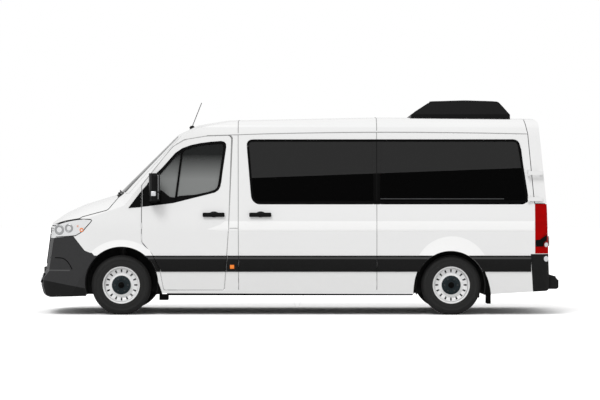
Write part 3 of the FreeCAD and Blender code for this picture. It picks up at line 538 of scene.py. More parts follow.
# The creases and flares get a paler copy of the white enamel: a painted highlight where they face
# up to the light.
painted_highlight_enamel = plain("crease_enamel_painted_highlight", (0.9, 0.9, 0.895), (0.93, 0.93, 0.925), 900, 0.26,
                     0.0002, coat=0.5)
CREASE = [
    (1.042, -0.004), (1.04, 0.0008), (0.952, 0.0052), (0.946, 0.0046), (0.93, 0.0008),
    (0.928, -0.004)]
for side, s in SIDES:
    for part, low, high, body in (
            ("front_door", -1.1, -0.758, "front_door_" + side),
            ("pillar", -0.748, -0.6535, "body"), ("sliding_door", -0.6445, 0.8855, "body"),
            ("quarter", 0.8925, 2.634, "body")):
        band = strip_along("crease_%s_%s" % (part, side), s, CREASE, low, high)
        if part == "front_door":
            for vertex in band.data.vertices:
                if vertex.co.x < -1.0:
                    vertex.co.y -= s * 0.0075
        fit(band, painted_highlight_enamel, body, 12)

    def rear_flare(u, v):
        turn = math.radians(-22 + 224 * u)
        near = (REAR_ARCH[0] + 0.3885 * math.cos(turn), REAR_ARCH[1] + 0.3885 * math.sin(turn))
        far = (1.72 + 0.42 * math.cos(turn), 0.452 + 0.42 * math.sin(turn))
        x, z = (near[0] + (far[0] - near[0]) * v, near[1] + (far[1] - near[1]) * v)
        return x, s * (side_at(z) + 0.012 * (1 - v) ** 1.3 - 0.0008), z

    def front_flare(u, v):
        turn = math.radians(12 + 122 * u)
        reach = 0.4085 + 0.075 * v
        x, z = FRONT_ARCH[0] + reach * math.cos(turn), FRONT_ARCH[1] + reach * math.sin(turn)
        return x, s * (side_at(z) + 0.01 * (1 - v) ** 1.3 - 0.0008), z

    flare = curved_sheet("rear_flare_" + side, 96, 5, rear_flare)
    cut(flare, block("below", (1.0, -1.2, 0.0), (2.5, 1.2, 0.6595)))
    fit(flare, painted_highlight_enamel)
    flare = curved_sheet("front_flare_" + side, 64, 5, front_flare)
    trim(flare, (-1.608, 0, 0.675), (0.902, 0, 0.433))
    cut(flare, block("below", (-3.0, -1.2, 0.0), (-1.0, 1.2, 0.6595)))
    fit(flare, painted_highlight_enamel)

# Sealed seams: where the welded panels of the body meet, and the gap round each front door.
# A thin line of grey sealer or soft rubber lies in each groove; it is black beside dark parts.


def rounded(corners, steps=6):
    """A closed outline of (x, z, radius) with its corners drawn as short curves."""
    run = []
    for i, (x, z, radius) in enumerate(corners):
        near = []
        for other in (corners[i - 1], corners[(i + 1) % len(corners)]):
            dx, dz = other[0] - x, other[1] - z
            far = math.hypot(dx, dz)
            near.append((dx / far, dz / far, far))
        half = math.acos(max(-1, min(1, near[0][0] * near[1][0] + near[0][1] * near[1][1]))) / 2
        reach = min(radius / math.tan(half), 0.45 * near[0][2], 0.45 * near[1][2])
        (xa, za), (xb, zb) = [(x + dx * reach, z + dz * reach) for dx, dz, far in near]
        for step in range(steps + 1):
            t = step / steps
            a, b, c = (1 - t) ** 2, 2 * t * (1 - t), t * t
            run.append((a * xa + b * x + c * xb, a * za + b * z + c * zb))
    return run + run[:1]


def seam(name, s, run, finish, width=0.0075, out=0.0006):
    """A thin line that follows points (x, z) on a body side."""
    steps = len(run) - 1

    def place(u, v):
        i = min(int(u * steps + 1e-6), steps - 1)
        t = u * steps - i
        (xa, za), (xb, zb) = run[i], run[i + 1]
        length = math.hypot(xb - xa, zb - za)
        nx, nz = -(zb - za) / length, (xb - xa) / length
        x = xa + (xb - xa) * t + nx * (v - 0.5) * width
        z = za + (zb - za) * t + nz * (v - 0.5) * width
        return x, s * (side_at(z) + out), z
    return fit(curved_sheet(name, steps, 1, place, 0.0014), finish)


def skin_target(name, *nodes):
    """A merged copy of CAD nodes for pieces to be pressed on to; it is thrown away later."""
    copies = []
    for node in nodes:
        copy = bpy.data.objects.new(name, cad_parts[node].data.copy())
        bpy.context.collection.objects.link(copy)
        copies.append(copy)
    return tidy_faces(join(name, *copies))


def groove_line(name, dark, pale, roughness, near_glass):
    """A grey line's finish, black beside the moulding and where near_glass says."""
    return plain(name, dark, pale, 300, roughness, shine=0.1, blotch=300, areas=(
        (lambda x, y, z: near_glass(x, z).most((z > MOULDING_FOOT) * (z < MOULDING_TOP)), 0.004),))


sealer = groove_line("seam_sealer", 0.3, 0.36, 0.7,
                     lambda x, z: (z > 1.226) * (z < 1.946) * (x > 0.5))
gap_seal = groove_line("door_gap_seal", 0.5, 0.56, 0.8,
                       lambda x, z: (z > 1.196) * (z < 1.385) * (x < -1.6))
GUTTER = [
    (-1.002, 1.992), (-0.711, 2.000), (-0.35, 2.012), (0.0, 2.02), (0.45, 2.027), (0.89, 2.03),
    (1.3, 2.0295), (1.7, 2.026), (2.13, 2.02), (2.562, 2.011)]
UPRIGHT = [h / 100 for h in range(196, 26, -12)] + [0.283]
REAR_SEAM = [(0.889, h) for h in [2.028] + UPRIGHT]
FRONT_SEAM = [(-0.6525, 2.0)] + [(-0.6525 + 0.0045 * (2.0 - h), h) for h in UPRIGHT]
DOOR_GAP = [
    (-1.72, 0.809, 0.06), (-1.72, 1.4415, 0.06), (-1.3875, 1.8655, 0.15), (-1.246, 1.948, 0.2),
    (-1.001, 1.988, 0.3), (-0.7195, 1.996, 0.04), (-0.747, 1.2, 0.5), (-0.756, 0.962, 0.2),
    (-0.786, 0.501, 0.2), (-0.804, 0.279, 0.025), (-1.477, 0.279, 0.025), (-1.5175, 0.499, 0.12),
    (-1.603, 0.677, 0.12)]
for side, s in SIDES:
    seam("gutter_seam_" + side, s, GUTTER, sealer)
    seam("sliding_door_rear_seam_" + side, s, REAR_SEAM, sealer)
    seam("sliding_door_front_seam_" + side, s, FRONT_SEAM, sealer)
    seam("pillar_seam_" + side, s, [(-0.741, 0.962), (-0.667, 0.962)], sealer, 0.004)
for side, s in SIDES:
    seam("door_gap_seal_" + side, s, rounded(DOOR_GAP)[:-1], gap_seal, 0.0055, -0.0025)
for side, s in SIDES:
    seam("pillar_seam_" + side, s, [(-0.745, 0.9624), (-0.655, 0.9624)], sealer, 0.006, 0.0062)

roof = skin_target("roof", "roof_panel")
for number, x in enumerate((-0.652, 0.89)):
    def across_roof(u, v):
        y = 0.9245 * math.sin(math.pi * (u - 0.5))
        hit, place, normal, index = roof.ray_cast((x + (v - 0.5) * 0.008, y, FAR), DOWN)
        return place + normal * 0.0012
    fit(curved_sheet("roof_seam_%d" % (number + 1), 140, 1, across_roof, 0.0014), sealer)
bpy.data.objects.remove(roof)

# Side glass fittings: the rubber frame, the joint between the panes and the door's runner.
# Black rubber and black film on the glass, and a rail of dark anodised metal behind the door.

runner_metal = plain("runner_metal", (0.04, 0.041, 0.043), (0.06, 0.062, 0.064), 240, 0.4,
                     0.0002, 0.4)
black_rubber = plain("black_rubber", 0.001, 0.003, 260, 0.6, 0.0004, shine=0.04)
joint_black = plain("window_joint", 0.002, 0.002, 260, 0.3, shine=0.04, areas=(
    # Above the same slanting line the joint is painted paler: a painted reflection.
    (lambda x, y, z: z > (x * REFLECTION_LINE_RISE + REFLECTION_LINE_Z), 0.024),))
WINDOWS = rounded([(-0.5625, 1.95, 0.07), (2.4763, 1.951, 0.085), (2.5799, 1.2462, 0.03),
                   (-0.5001, 1.2312, 0.11)], 12)
lengths = [math.dist(a, b) for a, b in zip(WINDOWS, WINDOWS[1:])]
JOINT = [(1.2265, -0.012), (1.2265, 0.0012), (1.9455, 0.0012), (1.9455, -0.012)]
RAIL = [
    (1.283, -0.002), (1.283, 0.005), (1.286, 0.007), (1.291, 0.007), (1.294, 0.002),
    (1.294, -0.002)]
for side, s in SIDES:
    def window_frame(u, v):
        """A point on the rubber frame round both panes; v runs from its outer edge inwards."""
        left = (0.0003 + 0.9994 * u) * sum(lengths)
        for (xa, za), (xb, zb), length in zip(WINDOWS, WINDOWS[1:], lengths):
            if left <= length and length:
                break
            left -= length
        t = left / length
        inward = 0.026 * v
        x = xa + (xb - xa) * t + (zb - za) / length * inward
        z = za + (zb - za) * t - (xb - xa) / length * inward
        return x, s * (side_at(z) + 0.0015), z

    for name, low, high in (("window_joint_", 0.852, 0.888), ("window_post_", 0.891, 0.926)):
        fit(strip_along(name + side, s, JOINT, low, high), joint_black)
    fit(curved_sheet("window_frame_" + side, 240, 1, window_frame, 0.0016), black_rubber)
    fit(strip_along("sliding_door_runner_" + side, s, RAIL, 0.93, 2.3), runner_metal)

# Front doors: black window surround, quarter-light bar, corner cap and pull handles.
# The surround is glossy plastic; the handles are grained pulls over a shallow cup.

gloss_black = plain("gloss_black", 0.001, 0.003, 120, 0.16, 0.0, shine=0.07)
SURROUND = [
    (-1.7135, 1.1985), (-1.373, 1.24), (-0.91, 1.357), (-0.868, 1.385), (-0.846, 1.43),
    (-0.836, 1.5), (-0.784, 1.862), (-0.786, 1.9), (-0.806, 1.924), (-0.84, 1.932), (-0.955, 1.924),
    (-1.074, 1.909), (-1.18, 1.886), (-1.271, 1.853), (-1.35, 1.8), (-1.7135, 1.388)]
GLASS_EDGE = [
    (-1.512, 1.391), (-1.405, 1.308), (-1.355, 1.303), (-1.294, 1.321), (-1.127, 1.333),
    (-0.983, 1.364), (-0.912, 1.388), (-0.887, 1.41), (-0.874, 1.446), (-0.864, 1.51),
    (-0.816, 1.862), (-0.818, 1.884), (-0.832, 1.898), (-0.85, 1.902), (-0.955, 1.896),
    (-1.074, 1.882), (-1.168, 1.86), (-1.252, 1.826), (-1.33, 1.775), (-1.527, 1.547)]
LIGHT_BAR = [(-1.357, 1.262), (-1.333, 1.264), (-1.262, 1.838), (-1.284, 1.828)]


def laid_on_side(made, s, out, deep=0.01):
    """Leans a plate, drawn from y -1 to 0, on to the slope of a body side above the waist."""
    for vertex in made.data.vertices:
        face = side_at(vertex.co.z) + (out if vertex.co.y < -0.5 else -deep)
        vertex.co.y = s * face
    return tidy_faces(made)


for side, s in SIDES:
    ring = plate("window_surround_" + side, SURROUND, "xz", -1, 0)
    cut(ring, plate("opening", GLASS_EDGE, "xz", -1.5, 0.5))
    laid_on_side(ring, s, 0.0025)
    fit(soften(ring, 0.002, 1), gloss_black, "front_door_" + side)
    bar = laid_on_side(plate("quarter_light_bar_" + side, LIGHT_BAR, "xz", -1, 0), s, 0.003)
    fit(soften(bar, 0.002, 1), black_rubber, "front_door_" + side)

# The black triangle ahead of the door stands on the wing and the windscreen pillar.
CAP_TIP, CAP_FOOT, CAP_TOP = (-1.868, 1.186), (-1.7275, 1.197), (-1.7275, 1.374)
for side, s in SIDES:
    shell = skin_target("shell", "front_wings", "roof_panel")

    def triangle(u, v):
        x = CAP_TIP[0] + (CAP_FOOT[0] - CAP_TIP[0]) * u
        top = CAP_TIP[1] + (CAP_TOP[1] - CAP_TIP[1]) * u
        foot = CAP_TIP[1] + (CAP_FOOT[1] - CAP_TIP[1]) * u
        return x, s * 1.1, foot + (top - foot) * v
    cap = bent(added("corner_cap_" + side, bpy.ops.mesh.primitive_grid_add, x_subdivisions=14,
                     y_subdivisions=12, size=1), triangle)
    apply(cap, "SHRINKWRAP", target=shell, wrap_method="PROJECT", use_project_y=True,
          use_negative_direction=True, use_positive_direction=True, offset=0.003)
    apply(cap, "SOLIDIFY", thickness=0.004, offset=0)
    bpy.data.objects.remove(shell)
    fit(tidy_faces(cap), gloss_black)

# Each pull is a rounded bar on two feet across a bowl-shaped cup.
face = side_at(1.112)
for side, s in SIDES:
    for door, x, body in (("front", -0.921, "front_door_" + side), ("sliding", -0.404, "body")):
        cup = added("cup", bpy.ops.mesh.primitive_uv_sphere_add, segments=40, ring_count=20,
                    radius=1, location=(x + 0.004, s * (face - 0.004), 1.112),
                    scale=(0.056, 0.013, 0.037))
        pull = block("pull", (x - 0.122, s * (face + 0.014), 1.087),
                     (x + 0.122, s * (face + 0.036), 1.135))
        soften(pull, 0.0105, 4)
        feet = [soften(block("foot", (x + e - 0.014, s * (face - 0.004), 1.1),
                             (x + e + 0.014, s * (face + 0.026), 1.124)), 0.006, 2)
                for e in (-0.096, 0.096)]
        fit(join("%s_door_handle_%s" % (door, side), cup, pull, *feet), dark_plastic, body)

# Door mirrors: a glass in each housing, a lower wide-angle glass and a side repeater lamp.
# The glass is silvered; the repeater is a clear moulding, the side marker an amber one.

mirror_silver = plain("mirror_silver", (0.75, 0.76, 0.77), (0.82, 0.83, 0.84), 40, 0.03, 0.0, 1.0)
clear_lamp = plain("clear_lamp", (0.62, 0.63, 0.65), (0.85, 0.86, 0.88), 240, 0.12, 0.0006, 0.4,
                   0.6)
amber_lens = plain("amber_lens", (0.86, 0.16, 0.0), (1.0, 0.27, 0.0), 240, 0.18, 0.0006, 0.0, 0.6)
sill_face = side_at(0.534)
for side, s in SIDES:
    door = "front_door_" + side
    for part, low, high in (("mirror_glass_", 1.368, 1.552), ("wide_angle_glass_", 1.284, 1.352)):
        pane = plate(part + side, [(-1.5085, s * 1.048), (-1.5255, s * 1.158),
                                   (-1.5325, s * 1.158), (-1.5155, s * 1.048)], "xy", low, high)
        fit(soften(pane, 0.003, 2), mirror_silver, door)
    soft_block("repeater_" + side, (-1.606, s * 1.125, 1.318), (-1.552, s * 1.1735, 1.372),
               0.01, 3, clear_lamp, door)
    soft_block("side_marker_" + side, (-0.7395, s * (sill_face + 0.012), 0.513),
               (-0.6925, s * (sill_face + 0.0195), 0.556), 0.003, 2, amber_lens)

# Windscreen: the covers of its pillars, its black side borders and two parked wipers.
# The wiper arms are pressed steel in black powder coat, pivoted in the cowl.


def rod_along(name, points, radius, rounds=2):
    """A round rod through points, made from a path that is given thickness."""
    bpy.ops.object.select_all(action="DESELECT")
    bpy.ops.curve.primitive_nurbs_path_add()
    path = bpy.context.object
    path.name = path.data.name = name
    path.data.splines.clear()
    run = path.data.splines.new("POLY")
    run.points.add(len(points) - 1)
    for point, place in zip(run.points, points):
        point.co = tuple(place) + (1,)
    path.data.bevel_depth = radius
    path.data.bevel_resolution = rounds
    path.data.use_fill_caps = True
    bpy.ops.object.convert(target="MESH")
    return tidy_faces(bpy.context.object)


def front_of(target, y, z):
    """The x at which a line from the front at (y, z) meets a piece."""
    return target.ray_cast((-FAR, y, z), BACKWARD)[1].x


screen = skin_target("screen", "windscreen", "roof_panel", "cowl")


def screen_point(y, z, out):
    """The point of the windscreen at (y, z), moved out along its slope."""
    return front_of(screen, y, z) - out * 0.707, y, z + out * 0.707


for side, s in SIDES:
    for name, foot, height, near, wide, out, thickness, finish in (
            ("pillar_cover_", 1.352, 0.64, 1.038, 0.087, 0.004, 0.004, enamel),
            ("screen_border_", 1.362, 0.62, 0.96, 0.082, 0.0015, 0.002, gloss_black)):
        def upright(u, v):
            z = foot + height * u
            y = s * (near + wide * v - SCREEN_LEAN * z)
            return front_of(screen, y, z) - out, y, z
        fit(curved_sheet(name + side, 32, 6, upright, thickness), finish)

PIVOT_X = -1.996
for number, (foot_y, tip_y, lift) in enumerate(((-0.6, 0.04, 0.01), (0.02, 0.6, 0.012))):
    arm = [(PIVOT_X, foot_y, 1.352), screen_point(foot_y + 0.05, 1.362, 0.014),
           screen_point((foot_y + tip_y) / 2, 1.366 + lift / 2, 0.018),
           screen_point(foot_y + 0.72 * (tip_y - foot_y), 1.366 + lift * 0.8, 0.014)]
    blade = [screen_point(foot_y + 0.12 + (tip_y - foot_y) * t * 0.92, 1.36 + lift * t, 0.006)
             for t in (0, 0.25, 0.5, 0.75, 1.0)]
    fit(join("wiper_%d" % (number + 1), rod_along("arm", arm, 0.005),
             rod_along("blade", blade, 0.006),
             roller("pivot", 0.014, (PIVOT_X, foot_y, 1.35), 0.02, "z", 24)),
        dark_plastic)
bpy.data.objects.remove(screen)

# Headlamps: two projectors, an indicator, a light strip and fins behind each clear lens.
# The bowls are aluminised plastic; black rubber seals lie round the lens, and a black rod laid in
# the bumper's groove is painted shade.

bowl_silver = plain("bowl_silver", (0.3, 0.305, 0.31), (0.46, 0.465, 0.47), 30, 0.22, 0.0, 0.6)


def traced(target, starts, axis, way, out=0.0):
    """Starts moved along one axis on to a piece, and out of it; those that miss are left out."""
    direction = [0, 0, 0]
    direction[axis] = way
    run = []
    for start in starts:
        hit, place, normal, index = target.ray_cast(start, direction)
        if hit:
            point = list(start)
            point[axis] = place[axis] - way * out
            run.append(point)
    return run


BROW = [
    (-2.694, 0.984), (-2.65, 1.004), (-2.6, 1.02), (-2.551, 1.033), (-2.48, 1.048), (-2.42, 1.057),
    (-2.379, 1.061)]
SEAL = [
    (-2.379, 1.061), (-2.33, 1.062), (-2.284, 1.058), (-2.272, 1.046), (-2.3, 1.012),
    (-2.34, 0.968), (-2.368, 0.933), (-2.41, 0.905), (-2.456, 0.879), (-2.56, 0.87), (-2.68, 0.863)]
# The bumper's groove is drawn as a black rod: painted shade in the groove.
GROOVE = [
    (-2.74, 0.632), (-2.68, 0.633), (-2.63, 0.632), (-2.602, 0.628), (-2.575, 0.616),
    (-2.545, 0.59), (-2.518, 0.552), (-2.494, 0.506)]
for side, s in SIDES:
    lens = skin_target("lens", "headlamps")
    for number, (x, z, radius, finish) in enumerate((
            (-2.64, 0.944, 0.056, bowl_silver), (-2.53, 0.962, 0.048, bowl_silver),
            (-2.386, 0.942, 0.023, amber_lens), (-2.43, 0.985, 0.009, amber_lens))):
        hit, place, normal, index = lens.ray_cast((x, s * 2.0, z), (0, -s, 0))
        normal = normal if normal.y * s > 0 else -normal
        spot = added("headlamp_spot_%d_%s" % (number + 1, side), bpy.ops.mesh.primitive_cone_add,
                     vertices=40, radius1=radius * 0.55, radius2=radius, depth=0.006,
                     location=place - normal * 0.0005,
                     rotation=normal.to_track_quat("Z", "Y").to_euler())
        inset(spot, lambda face: face.normal.dot(normal) > 0.9,
              {"thickness": radius * 0.16, "depth": 0.003},
              {"thickness": radius * 0.34, "depth": -0.006})
        fit(spot, finish)
    for label, z, inner, outer, radius, finish in (
            ("headlamp_light_strip_", 0.9, 0.485, 0.845, 0.0075, clear_lamp),
            ("headlamp_reflector_fin_", 0.93, 0.485, 0.8, 0.004, gloss_black),
            ("headlamp_upper_fin_", 0.955, 0.485, 0.8, 0.004, gloss_black)):
        starts = [(-FAR, s * (inner + (outer - inner) * i / 12), z) for i in range(13)]
        fit(rod_along(label + side, traced(lens, starts, 0, 1), radius), finish)
    corner = skin_target("corner", "headlamps", "bonnet", "front_wings", "front_bumper")
    nose = skin_target("nose", "front_bumper")
    for label, target, radius, run in (
            ("headlamp_brow_", corner, 0.007, BROW), ("headlamp_seal_", corner, 0.0055, SEAL),
            ("bumper_groove_shade_", nose, 0.006, GROOVE)):
        starts = [(x, s * 2.0, z) for x, z in run]
        line = traced(target, starts, 1, -s, -0.002)
        fit(rod_along(label + side, line, radius), black_rubber)
    for target in (lens, corner, nose):
        bpy.data.objects.remove(target)

# Grille and bumper: horizontal bars in a frame, a blank number plate and two fog lamps.
# The bars are painted plastic; the plate is pressed aluminium, left blank.

plate_metal = plain("plate_metal", (0.7, 0.7, 0.68), (0.78, 0.78, 0.76), 60, 0.4, 0.0002)
bar_paint = plain("grille_bar_paint", (0.05, 0.05, 0.052), (0.09, 0.09, 0.092), 300, 0.3, 0.0,
                  0.3, 0.3)
nose = skin_target("nose", "grille", "front_bumper")
bars = []
for z, half in ((0.93, 0.44), (0.872, 0.445), (0.814, 0.448), (0.756, 0.448), (0.698, 0.44),
                (0.64, 0.415), (0.586, 0.375)):
    starts = [(-FAR, -half + 2 * half * i / 14, z) for i in range(15)]
    bars.append(rod_along("bar", traced(nose, starts, 0, 1), 0.007, 3))
fit(join("grille_bars", *bars), bar_paint)
GRILLE_FRAME = [
    (-0.455, 0.965), (-0.455, 0.64), (-0.37, 0.562), (0.37, 0.562), (0.455, 0.64), (0.455, 0.965)]
starts = [(-FAR, ya + (yb - ya) * i / 10, za + (zb - za) * i / 10)
          for (ya, za), (yb, zb) in zip(GRILLE_FRAME, GRILLE_FRAME[1:]) for i in range(10)]
fit(rod_along("grille_frame", traced(nose, starts, 0, 1), 0.008, 3), gloss_black)
bumper_x = front_of(nose, 0.0, 0.46)
soft_block("front_number_plate", (bumper_x - 0.006, -0.26, 0.405), (bumper_x + 0.004, 0.26, 0.515),
           0.003, 2, plate_metal)


def disc_on(name, target, start, way, radius, thick):
    """A disc that lies on a piece where a line from start meets it, facing out of its surface."""
    hit, place, normal, index = target.ray_cast(start, way)
    if normal.dot(way) > 0:
        normal = -normal
    return soften(added(name, bpy.ops.mesh.primitive_cylinder_add, vertices=40, radius=radius,
                        depth=thick, location=place - normal * 0.002,
                        rotation=normal.to_track_quat("Z", "Y").to_euler()), 0.004, 2)


for side, s in SIDES:
    for label, radius, thick, finish in (("fog_lamp_bezel_", 0.058, 0.018, gloss_black),
                                         ("fog_lamp_", 0.044, 0.028, clear_lamp)):
        fit(disc_on(label + side, nose, (-FAR, s * 0.7, 0.405), Vector(BACKWARD), radius,
                    thick), finish)
bpy.data.objects.remove(nose)

# Tail lamps and rear fittings: dark inserts, reversing and side lamps, brake lamp, handle.
# All are moulded plastic except the painted hinge covers and the blank plate.

INSERT = [
    (2.648, 0.7573), (2.648, 0.8305), (2.695, 0.835), (2.7727, 0.8903), (2.7727, 0.826),
    (2.7405, 0.8027), (2.736, 0.7617)]
for side, s in SIDES:
    insert = plate("tail_lamp_insert_" + side, INSERT, "xz", -1, 0)
    fit(laid_on_side(insert, s, 0.0018), gloss_black)
    corner = skin_target("corner", "tail_lamps", "rear_bumper")
    inward = Vector((-0.8, -s, 0)).normalized()
    for label, z, radius in (("reversing_lamp_", 0.779, 0.026), ("rear_side_lamp_", 0.622, 0.032)):
        start = Vector((2.778, s * 0.99, z)) - inward * 2
        fit(disc_on(label + side, corner, start, inward, radius, 0.012), clear_lamp)
    bpy.data.objects.remove(corner)
    soft_block("hinge_cover_" + side, (2.672, s * 0.9, 1.548), (2.742, s * 0.94, 1.602),
               0.008, 3, enamel, "rear_door_" + side)
soft_block("rear_number_plate", (2.8235, -0.74, 0.76), (2.83, -0.22, 0.87), 0.003, 2,
           plate_metal, "rear_door_left")
soft_block("rear_door_handle", (2.824, -0.1, 0.96), (2.856, -0.03, 1.12), 0.01, 3,
           dark_plastic, "rear_door_left")
soft_block("high_brake_lamp", (2.69, -0.17, 2.145), (2.716, 0.17, 2.172), 0.006, 3, red_lens)
soft_block("rear_step_pad", (2.8, -0.86, 0.3995), (2.888, 0.86, 0.4255), 0.004, 2, black_rubber)

# Roof air unit and aerial: louvres in front, two edge ribs, four fan rings and a collar.
# The cover is black moulded plastic over a steel tray, clamped to the roof.


def turned(name, profile, segments, centre, axis=(0, 1, 0)):
    """A turned piece: a closed profile of (radius, along) spun about an axis through a centre."""
    made = added(name, bpy.ops.mesh.primitive_circle_add, vertices=len(profile),
                 fill_type="NOTHING")
    for vertex, (radius, along) in zip(made.data.vertices, profile):
        shift = (0, along, radius) if axis[1] else (radius, 0, along)
        vertex.co = [a + b for a, b in zip(centre, shift)]
    edit(made, (bpy.ops.mesh.spin, {
        "steps": segments, "angle": math.radians(360), "center": centre, "axis": axis}))
    return tidy_faces(made)


unit = skin_target("unit", "roof_air_unit")


def unit_top(x, y, out=0.0):
    hit, place, normal, index = unit.ray_cast((x, y, FAR), DOWN)
    return x, y, (place.z if hit else 2.25) + out


FAN_RING = [(0.15, -0.006), (0.15, 0.004), (0.144, 0.007), (0.136, 0.006), (0.134, -0.006)]
fans = []
for x, y in ((1.66, -0.24), (1.66, 0.24), (2.04, -0.24), (2.04, 0.24)):
    top = unit_top(x, y)
    fans.append(turned("fan_ring", FAN_RING, 48, top, UPWARD))
    for turn in range(6):
        angle = math.radians(30 * turn)
        dx, dy = 0.138 * math.cos(angle), 0.138 * math.sin(angle)
        fans.append(rod_along("spoke", [(x - dx, y - dy, top[2] + 0.003),
                                        (x + dx, y + dy, top[2] + 0.003)], 0.003, 1))
    fans.append(roller("fan_hub", 0.045, (x, y, top[2] + 0.002), 0.012, "z", 32))
fit(join("air_unit_fans", *fans), bumper_plastic)
ribs = []
for i in range(9):
    run = [unit_top(1.345 + 0.02 * i, -0.42 + 0.84 * k / 12, 0.001) for k in range(13)]
    ribs.append(rod_along("rib", run, 0.004))
for y in (-0.46, 0.46):
    ribs.append(rod_along("rib", [unit_top(1.33 + 0.98 * k / 20, y) for k in range(21)], 0.005))
fit(join("air_unit_louvres", *ribs), bumper_plastic)
bpy.data.objects.remove(unit)
COLLAR = [
    (0.03, -0.004), (0.032, 0.0), (0.032, 0.006), (0.026, 0.012), (0.018, 0.014), (0.018, -0.004)]
fit(turned("aerial_collar", COLLAR, 32, (-1.203, 0, 2.106), UPWARD), black_rubber)

# Tyres: radial road tyres with a ribbed sidewall and four rows of tread blocks.
# Black rubber moulded on the rim's beads; each tyre stands for its plain solid.

SIDEWALL = [
    (0.2045, -0.082), (0.2055, -0.0995), (0.208, -0.1025), (0.222, -0.1035), (0.238, -0.1045),
    (0.241, -0.107), (0.245, -0.1055), (0.262, -0.107), (0.278, -0.107), (0.282, -0.109),
    (0.286, -0.1065), (0.3, -0.1035), (0.311, -0.0975), (0.3185, -0.089)]
TREAD = [
    (0.3235, -0.08), (0.3245, -0.0785), (0.3245, -0.05), (0.3185, -0.048), (0.3185, -0.042),
    (0.325, -0.04), (0.325, -0.006), (0.319, -0.004)]
TREAD_INSIDE = 0.3238
half_tyre = SIDEWALL + TREAD
TYRE = half_tyre + [(r, -w) for r, w in reversed(half_tyre)] + [(0.199, 0.06), (0.199, -0.06)]
for wheel, x, side, s in WHEELS:
    tyre = turned("road_tyre_" + wheel, TYRE, 96, (x, s * HALF_TRACK, WHEEL_Z))
    inset(tyre, lambda face: abs(face.normal.y) < 0.2 and TREAD_INSIDE < math.hypot(
        face.center.x - x, face.center.z - WHEEL_Z),
          {"thickness": 0.0018, "depth": 0.0052, "use_individual": True})
    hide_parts("tyre_" + wheel)
    fit(tyre, rubber, "wheel_" + wheel, 28)

# Hub covers: a dark moulded cover over each hub with a ring of wheel nuts and a cap.
# The cover is teal-grey plastic, the nuts are plated steel.

hub_teal = plain("hub_cover_teal", (0.007, 0.013, 0.016), (0.012, 0.022, 0.026), 90, 0.45, 0.0006,
                 shine=0.2)
plated = plain("plated_steel", (0.03, 0.032, 0.034), (0.05, 0.052, 0.055), 200, 0.45, 0.0002,
               0.3, shine=0.2)
COVER = [
    (0.001, -0.004), (0.001, -0.02), (0.03, -0.02), (0.034, -0.012), (0.046, -0.01),
    (0.052, -0.016), (0.088, -0.014), (0.1, -0.01), (0.1055, -0.004), (0.106, 0.006),
    (0.098, 0.008)]
CAP = [(0.001, 0.0), (0.001, 0.004), (0.028, 0.004), (0.033, 0.001), (0.034, -0.004)]
NUT_CIRCLE = 0.072
for wheel, x, side, s in WHEELS:
    body = "wheel_" + wheel
    face = s * HALF_TRACK + s * 0.0785

    def ring_of(name, start, radius, out, length, sides):
        """Six short bars round the hub, on the wheel's outer face."""
        angles = [math.radians(60 * turn + start) for turn in range(6)]
        return [roller(name, radius, (x + NUT_CIRCLE * math.cos(angle), face + s * out,
                                      WHEEL_Z + NUT_CIRCLE * math.sin(angle)), length, "y", sides)
                for angle in angles]

    cover = turned("cover", [(r, -s * w) for r, w in COVER], 64, (x, face, WHEEL_Z))
    bosses = ring_of("boss", 30, 0.015, 0.016, 0.012, 20)
    soften(bosses[0], 0.002, 2)
    fit(join("hub_cover_" + wheel, cover, *bosses), hub_teal, body)
    fit(turned("hub_cap_" + wheel, [(r, s * w) for r, w in CAP], 48,
               (x, face + s * 0.0195, WHEEL_Z)), black_rubber, body)
    fit(join("wheel_nuts_" + wheel, *ring_of("nut", 0, 0.0105, 0.0165, 0.014, 6)), plated, body)
    valve = [(x + 0.178, s * (HALF_TRACK + 0.03), WHEEL_Z),
             (x + 0.172, s * (HALF_TRACK + 0.056), WHEEL_Z)]
    fit(rod_along("tyre_valve_" + wheel, valve, 0.0045), black_rubber, body)

# Brakes: a ventilated disc behind each wheel, with a caliper over its rear edge.
# Cast iron; the discs turn with the wheels, and the calipers stay on the knuckles in front and on
# the body at the rear.

disc_iron = plain("brake_disc_iron", 0.1, (0.2, 0.195, 0.19), 240, 0.4, 0.0004, 0.8)
DISC = [
    (0.045, -0.01), (0.15, -0.01), (0.15, -0.003), (0.146, 0.0), (0.15, 0.003), (0.15, 0.01),
    (0.045, 0.01)]
for wheel, x, side, s in WHEELS:
    disc = turned("brake_disc_" + wheel, DISC, 72, (x, s * 0.822, WHEEL_Z))
    fit(disc, disc_iron, "wheel_" + wheel)
    jaw = block("brake_caliper_" + wheel, (x + 0.09, s * 0.785, 0.28),
                (x + 0.164, s * 0.848, 0.4))
    cut(jaw, block("slot", (x + 0.08, s * 0.807, 0.2), (x + 0.155, s * 0.837, 0.5)))
    fit(soften(jaw, 0.005, 2), cast_iron, "body" if x == REAR_AXLE else "knuckle_" + side)

# Wheel arches: a tub inside each wing with a splash shield, and black guards on the sills.
# Felted plastic tubs riveted to the arch lips; the guards are pressed on to the panel.

liner_felt = plain("arch_liner", 0.008, 0.014, 200, 0.85, 0.0012)
for side, s in SIDES:
    for part in ("arch_liner", "splash_shield"):
        for axle, (x, z), start, sweep, radius, deep, wide, shield_y in (
                ("front", FRONT_ARCH, -18, 216, 0.4065, 0.59, 0.157, 0.556),
                ("rear", REAR_ARCH, -15, 210, 0.3865, 0.71, 0.137, 0.708)):
            def tub(u, v):
                turn = math.radians(start + sweep * u)
                reach = radius if part == "arch_liner" else 0.25 + wide * v
                height = z + reach * math.sin(turn)
                edge = side_at(height) - 0.001
                y = edge + (deep - edge) * v if part == "arch_liner" else shield_y
                return x + reach * math.cos(turn), s * y, height
            fit(curved_sheet("%s_%s_%s" % (axle, part, side), 48, 3, tub, 0.004), liner_felt)


